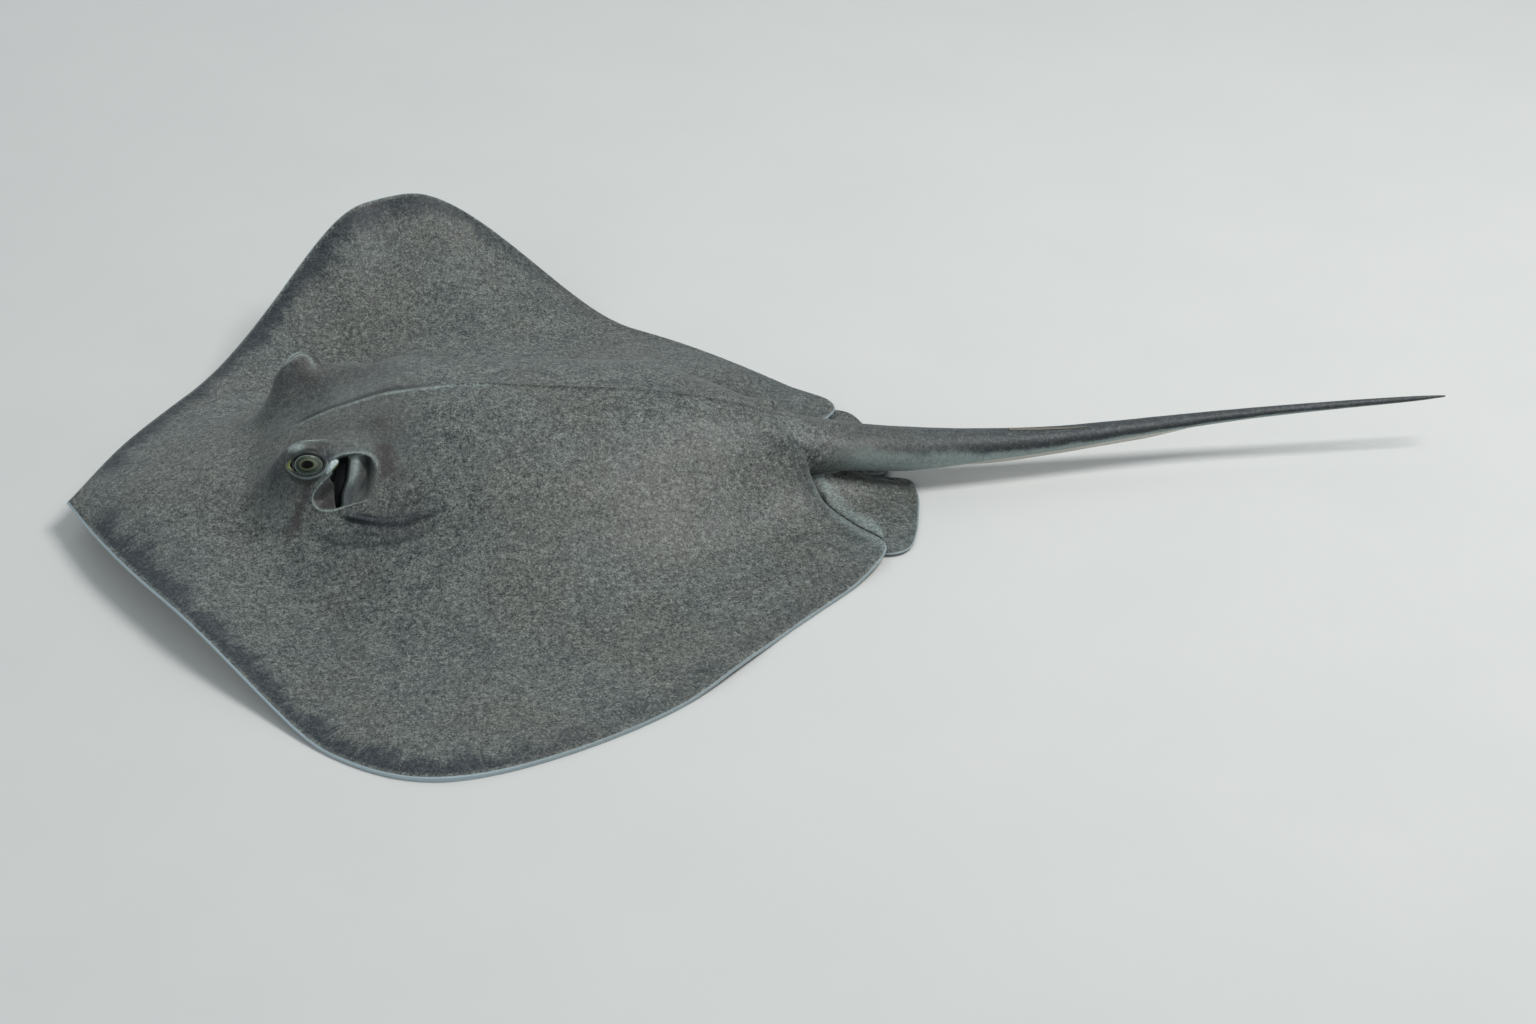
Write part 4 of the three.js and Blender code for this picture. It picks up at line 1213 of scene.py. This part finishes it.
# ---- Materials ----
class Nodes:
    """Short calls for building a node material."""

    def __init__(self, name):
        self.material = bpy.data.materials.new(name)
        self.material.use_nodes = True
        self.tree = self.material.node_tree
        self.shader = self.tree.nodes["Principled BSDF"]

    def add(self, kind, **settings):
        node = self.tree.nodes.new(kind)
        for key, value in settings.items():
            setattr(node, key, value)
        return node

    def link(self, value, socket):
        if isinstance(value, bpy.types.NodeSocket):
            self.tree.links.new(value, socket)
        else:
            socket.default_value = value

    def mark(self, name):
        return self.add("ShaderNodeAttribute", attribute_name=name).outputs["Fac"]

    def place(self):
        """The place on the object, in millimetres."""
        coordinates = self.add("ShaderNodeTexCoord").outputs["Object"]
        scaled = self.add("ShaderNodeVectorMath", operation="SCALE")
        self.link(coordinates, scaled.inputs[0])
        scaled.inputs["Scale"].default_value = MM
        return scaled.outputs[0]

    def vector(self, x, y, z=0.0):
        node = self.add("ShaderNodeCombineXYZ")
        for value, socket in zip((x, y, z), node.inputs):
            self.link(value, socket)
        return node.outputs[0]

    def noise(self, vector, size, detail=2.0, rough=0.5, warp=0.0):
        node = self.add("ShaderNodeTexNoise")
        self.link(vector, node.inputs["Vector"])
        node.inputs["Scale"].default_value = 1 / size
        node.inputs["Detail"].default_value = detail
        node.inputs["Roughness"].default_value = rough
        node.inputs["Distortion"].default_value = warp
        return node.outputs["Fac"]

    def cells(self, vector, size):
        node = self.add("ShaderNodeTexVoronoi", feature="SMOOTH_F1")
        self.link(vector, node.inputs["Vector"])
        node.inputs["Scale"].default_value = 1 / size
        return node.outputs["Distance"]

    def maths(self, operation, a, b, clamp=False):
        node = self.add("ShaderNodeMath", operation=operation, use_clamp=clamp)
        self.link(a, node.inputs[0])
        self.link(b, node.inputs[1])
        return node.outputs[0]

    def plus(self, a, b):
        return self.maths("ADD", a, b)

    def times(self, a, b):
        return self.maths("MULTIPLY", a, b)

    def about_half(self, value, size):
        """A noise as a move to either side, size across in all."""
        return self.times(self.plus(value, -0.5), size)

    def ramp(self, value, low, high, to_low=0.0, to_high=1.0):
        node = self.add("ShaderNodeMapRange", interpolation_type="SMOOTHSTEP")
        for item, socket in zip((value, low, high, to_low, to_high), node.inputs):
            self.link(item, socket)
        return node.outputs[0]

    def blend(self, share, a, b, way="MIX"):
        node = self.add("ShaderNodeMix", data_type="RGBA", blend_type=way, clamp_factor=True)
        self.link(share, node.inputs["Factor"])
        self.link(a, node.inputs[6])
        self.link(b, node.inputs[7])
        return node.outputs[2]

    def bump(self, height, distance, strength=1.0, below=None):
        node = self.add("ShaderNodeBump")
        node.inputs["Strength"].default_value = strength
        node.inputs["Distance"].default_value = distance
        self.link(height, node.inputs["Height"])
        if below is not None:
            self.link(below, node.inputs["Normal"])
        return node.outputs[0]

    def surface(self, specular, coat, coat_roughness):
        self.shader.inputs["Specular IOR Level"].default_value = specular
        self.shader.inputs["Coat Weight"].default_value = coat
        self.shader.inputs["Coat Roughness"].default_value = coat_roughness

    def finish(self, colour, roughness, normal=None):
        self.link(colour, self.shader.inputs["Base Color"])
        self.link(roughness, self.shader.inputs["Roughness"])
        if normal is not None:
            self.link(normal, self.shader.inputs["Normal"])
        return self.material


def linear(red, green, blue):
    """A colour from its 0 to 255 display values."""
    values = [c / 255 for c in (red, green, blue)]
    return [c / 12.92 if c <= 0.04045 else ((c + 0.055) / 1.055) ** 2.4 for c in values] + [1.0]


BAND = linear(22, 33, 41)
RIM = linear(168, 184, 190)
BROWN = linear(54, 49, 51)
# Dusky skin, and the shade painted in hollows and along folds.
DUSKY_AND_SHADE = linear(42, 47, 54)
# Pale skin, and the painted highlights.
PALE_AND_HIGHLIGHT = linear(158, 174, 172)
TAB = linear(196, 208, 212)
# Dark skin, and the shade painted in holes, grooves and creases.
DARK_AND_SHADE = linear(17, 21, 24)
YELLOW = linear(140, 148, 88)
BELLY = linear(206, 202, 194)
BELLY_GREY = linear(128, 128, 126)


class SkinNodes(Nodes):
    """The skin's shared noises, and the layers of colour that are made from them."""

    def __init__(self):
        super().__init__("stingray_skin")
        at = self.at = self.place()
        self.edge, self.along = self.mark("edge"), self.mark("along")
        self.mottle = self.noise(at, 24, 3, 0.6, 0.4)
        self.grain = self.noise(at, 2.5, 2, 0.65)
        fine, speck = (self.ramp(n, 0.3, 0.7, -0.5, 0.5) for n in (self.grain, self.noise(at, 1.4, 1, 0.5)))
        coarse = self.ramp(self.noise(at, 5.5, 2, 0.6), 0.3, 0.7, -0.35, 0.35)
        pepper = self.plus(self.plus(fine, speck), coarse)
        self.pepper = self.times(pepper, self.ramp(self.mark("plain"), 0, 1, 1.0, 0.35))
        run = self.vector(self.times(self.along, 1 / 4.0), self.times(self.edge, 1 / 26.0))
        self.streaks = self.noise(run, 1.0, 3, 0.6)  # long and thin, out to the margin

    def ground(self):
        """Grey skin, mottled softly and peppered with dark and pale grains."""
        broad = self.ramp(self.noise(self.at, 110, 2, 0.5), 0.4, 0.62, 0.0, 0.4)
        colour = self.blend(self.ramp(self.mottle, 0.34, 0.68), linear(74, 81, 80), linear(93, 100, 97))
        colour = self.blend(broad, colour, linear(86, 83, 77))
        colour = self.blend(self.ramp(self.pepper, 0.0, 1.15, 0, 0.5), colour, linear(156, 163, 156))
        return self.blend(self.ramp(self.pepper, 0.1, -1.0, 0, 0.9), colour, linear(20, 25, 27))

    def with_band(self, colour):
        """Fine streaks run out towards the margin, and a blue-black band follows it."""
        edge, along = self.edge, self.along
        faint = self.times(self.ramp(edge, 70, 14), self.ramp(self.streaks, 0.45, 0.7, 0, 0.35))
        colour = self.blend(faint, colour, linear(70, 78, 82))
        ragged = self.plus(edge, self.about_half(self.streaks, 44))
        ragged = self.plus(ragged, self.about_half(self.mottle, 24))
        blotch = self.noise(self.vector(self.times(along, 1 / 38.0), 0.0), 1.0, 2, 0.5)
        reach = self.ramp(blotch, 0.35, 0.65, 14, 27)
        inner = self.ramp(self.maths("SUBTRACT", ragged, reach), 10, -8)
        band = self.times(self.ramp(edge, 2.2, 6.5), inner)
        band = self.times(band, self.ramp(self.pepper, -0.4, 0.4, 1.0, 0.72))
        for ends in ((760, 560, 0.3, 1.0), (2500, 2400, 0.35, 1), (32, 74)):
            band = self.times(band, self.ramp(along, *ends))
        return self.blend(band, colour, BAND)

    def with_marks(self, colour):
        """Each mark's colour, broken up by the grain, and the pale rim."""
        dark_flecks = self.ramp(self.pepper, -0.35, 0.35, 1.15, 0.7)
        pale_flecks = self.ramp(self.pepper, -0.35, 0.35, 0.65, 1.1)
        # The dusky, dark and pale tints also paint shade and highlights, beside the skin's own marks.
        tinted = ("brown", dark_flecks, BROWN), ("dusky_and_shade", dark_flecks, DUSKY_AND_SHADE), ("pale", pale_flecks, PALE_AND_HIGHLIGHT)
        for name, flecks, tint in tinted:
            share = self.maths("MULTIPLY", self.mark(name), flecks, clamp=True)
            colour = self.blend(share, colour, tint)
        tab = self.blend(self.ramp(self.grain, 0.35, 0.65), TAB, PALE_AND_HIGHLIGHT)
        for name, tint in (("white", tab), ("yellow", YELLOW), ("dark", DARK_AND_SHADE)):
            colour = self.blend(self.mark(name), colour, tint)
        rim = self.times(self.ramp(self.edge, 2.1, 0.7, 0, 0.9), self.ramp(self.along, 760, 560, 0.55, 1.0))
        return self.blend(rim, colour, RIM)

    def below(self):
        """Off-white, greyer towards the margin, with shade painted in the grooves."""
        cloud = self.ramp(self.noise(self.at, 30, 4, 0.6), 0.35, 0.7, 0, 0.35)
        colour = self.blend(cloud, BELLY, linear(186, 176, 166))
        ragged = self.plus(self.edge, self.times(self.streaks, 24))
        colour = self.blend(self.ramp(ragged, 52, 22, 0, 0.7), colour, BELLY_GREY)
        colour = self.blend(self.ramp(self.edge, 2.2, 0.6, 0, 0.9), colour, RIM)
        return self.blend(self.mark("dark"), colour, linear(84, 74, 72))

    def leather(self):
        """Wrinkles, creases and pores."""
        normal = self.bump(self.noise(self.at, 3.4, 3, 0.6), 0.0006, 0.55)
        normal = self.bump(self.cells(self.at, 2.6), 0.0004, 0.35, normal)
        return self.bump(self.noise(self.at, 0.9, 2, 0.6), 0.00025, 0.5, normal)


def skin_material():
    n = SkinNodes()
    above = n.with_marks(n.with_band(n.ground()))
    n.surface(0.35, 0.08, 0.35)
    roughness = n.ramp(n.mottle, 0.3, 0.7, 0.52, 0.66)
    return n.finish(n.blend(n.mark("belly"), above, n.below()), roughness, n.leather())


# Rings of the iris: how far out each begins, and its colour.
IRIS = [
    (0.0, (5, 7, 6)), (5.3, (5, 7, 6)), (5.7, (66, 68, 42)), (6.1, (84, 88, 72)), (8.3, (76, 80, 66)),
    (8.9, (34, 40, 34)), (9.4, (30, 42, 38)), (10.2, (36, 48, 44)), (10.8, (92, 104, 96)),
    (11.3, (40, 50, 46)), (11.9, (18, 24, 22)), (12.6, (136, 150, 140)), (13.2, (110, 122, 114)),
    (13.7, (14, 18, 18)), (19.0, (10, 13, 13)),
]
IRIS_REACH = 20.0


def iris_rings(n, ring):
    """The colour of each ring, with a little wobble so that none is a true circle."""
    wobble = n.about_half(n.noise(n.place(), 3.2, 2, 0.6), 1.0)
    node = n.add("ShaderNodeValToRGB")
    n.link(n.maths("DIVIDE", n.plus(ring, wobble), IRIS_REACH), node.inputs["Fac"])
    stops = node.color_ramp.elements
    for stop, (begins, colour) in zip(stops, (IRIS[0], IRIS[-1])):
        stop.position, stop.color = begins / IRIS_REACH, linear(*colour)
    for begins, colour in IRIS[1:-1]:
        stops.new(begins / IRIS_REACH).color = linear(*colour)
    return node.outputs["Color"]


def eye_material():
    n = Nodes("stingray_eye")
    ring, ahead = n.mark("ring"), n.mark("tailward")
    fibres = n.noise(n.vector(n.times(n.mark("spoke"), 9.0), n.maths("DIVIDE", ring, 6.0)), 1.0, 3, 0.6)
    fibres = n.ramp(fibres, 0.42, 0.66, 0.0, 0.3)
    colour = n.blend(fibres, iris_rings(n, ring), linear(70, 80, 72), "MULTIPLY")
    bright = n.times(n.times(n.mark("lit"), n.ramp(ring, 5.6, 6.2)), n.ramp(ring, 13.4, 12.8))
    colour = n.blend(n.times(bright, 0.16), colour, linear(160, 168, 152))
    purple = n.times(n.ramp(ahead, -9.4, -10.8), n.ramp(ahead, -12.6, -11.4))
    colour = n.blend(n.times(purple, 0.5), colour, linear(92, 90, 98))
    corner = n.times(n.ramp(ahead, -13.4, -14.8), n.ramp(ring, 19, 17))
    colour = n.blend(corner, colour, linear(128, 140, 84))
    n.surface(0.05, 0.16, 0.06)
    return n.finish(colour, 0.6)


def sting_material():
    n = Nodes("sting_dentine")
    at = n.place()
    stretched = n.add("ShaderNodeMapping")
    n.link(at, stretched.inputs["Vector"])
    stretched.inputs["Scale"].default_value = (0.15, 1.6, 1.6)
    grain = n.noise(stretched.outputs[0], 1.0, 3, 0.6)
    colour = n.blend(grain, linear(78, 77, 70), linear(118, 115, 103))
    return n.finish(colour, 0.48, n.bump(grain, 0.0002, 0.5))


def thorn_material():
    n = Nodes("thorn_horn")
    grain = n.noise(n.place(), 1.2, 2, 0.6)
    colour = n.blend(n.ramp(grain, 0.35, 0.65), linear(34, 37, 40), linear(112, 112, 106))
    return n.finish(colour, 0.42, n.bump(grain, 0.0002, 0.4))


def floor_material():
    n = Nodes("pale_floor")
    grain = n.noise(n.place(), 180, 3, 0.5)
    colour = n.blend(grain, linear(196, 198, 197), linear(202, 203, 201))
    return n.finish(colour, 0.8)


# ---- Stage ----
def make_floor():
    bpy.ops.mesh.primitive_plane_add(size=60, location=(0, 0, 0))
    floor = bpy.context.object
    floor.name = "floor"
    floor.data.materials.append(floor_material())


def make_light(name, place, aim, power, size, colour):
    lamp = bpy.data.lights.new(name, "AREA")
    lamp.energy, lamp.size, lamp.color = power, size, colour
    light = bpy.data.objects.new(name, lamp)
    light.location = place
    light.rotation_euler = (Vector(aim) - Vector(place)).to_track_quat("-Z", "Y").to_euler()
    bpy.context.scene.collection.objects.link(light)


def light_stage():
    make_light("key", (1.9, -0.1, 3.0), (0.1, 0, 0), 88, 1.3, (1.0, 0.985, 0.96))
    make_light("fill", (-2.2, -2.6, 2.4), (0, 0, 0), 26, 2.6, (0.93, 0.97, 1.0))
    make_light("back", (-0.6, 3.2, 2.2), (0, 0, 0), 22, 2.4, (0.95, 0.98, 1.0))
    world = bpy.data.worlds.new("studio")
    bpy.context.scene.world = world
    world.use_nodes = True
    background = world.node_tree.nodes["Background"]
    background.inputs["Color"].default_value = (0.86, 0.93, 0.97, 1)
    background.inputs["Strength"].default_value = 0.42
    bpy.context.scene.view_settings.view_transform = "Standard"


# The camera, fitted to the animal's outline: its place, the way it looks and its lens.
CAMERA_PLACE = (-0.02149, -2.47474, 1.46929)
CAMERA_AZIMUTH = math.radians(-6.5935)
CAMERA_DOWN = math.radians(31)
CAMERA_LENS = 70.008


def make_camera():
    camera = bpy.data.cameras.new("camera")
    camera.lens = CAMERA_LENS
    camera.sensor_width = 36
    holder = bpy.data.objects.new("camera", camera)
    bpy.context.scene.collection.objects.link(holder)
    sine, cosine = math.sin(CAMERA_AZIMUTH), math.cos(CAMERA_AZIMUTH)
    flat = math.cos(CAMERA_DOWN)
    ahead = Vector((-sine * flat, cosine * flat, -math.sin(CAMERA_DOWN)))
    right = Vector((cosine, sine, 0))
    turn = Matrix((right, right.cross(ahead), -ahead)).transposed().to_4x4()
    holder.matrix_world = Matrix.Translation(CAMERA_PLACE) @ turn
    bpy.context.scene.camera = holder


def finish_piece(piece, material, slot, *replaced):
    piece.data.materials.clear()
    piece.data.materials.append(material)
    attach(piece, "root")
    if replaced:
        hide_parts(*replaced)


def make_animal():
    skin = make_skin()
    finish_piece(skin, skin_material(), "skin", *FLESH)
    iris = eye_material()
    for name in SIDES:
        finish_piece(make_eye(name), iris, "eye", f"eye_{name}")
    finish_piece(make_sting(), sting_material(), "sting", "sting")
    finish_piece(make_thorns(skin), thorn_material(), "skin")


make_animal()
make_floor()
light_stage()
make_camera()
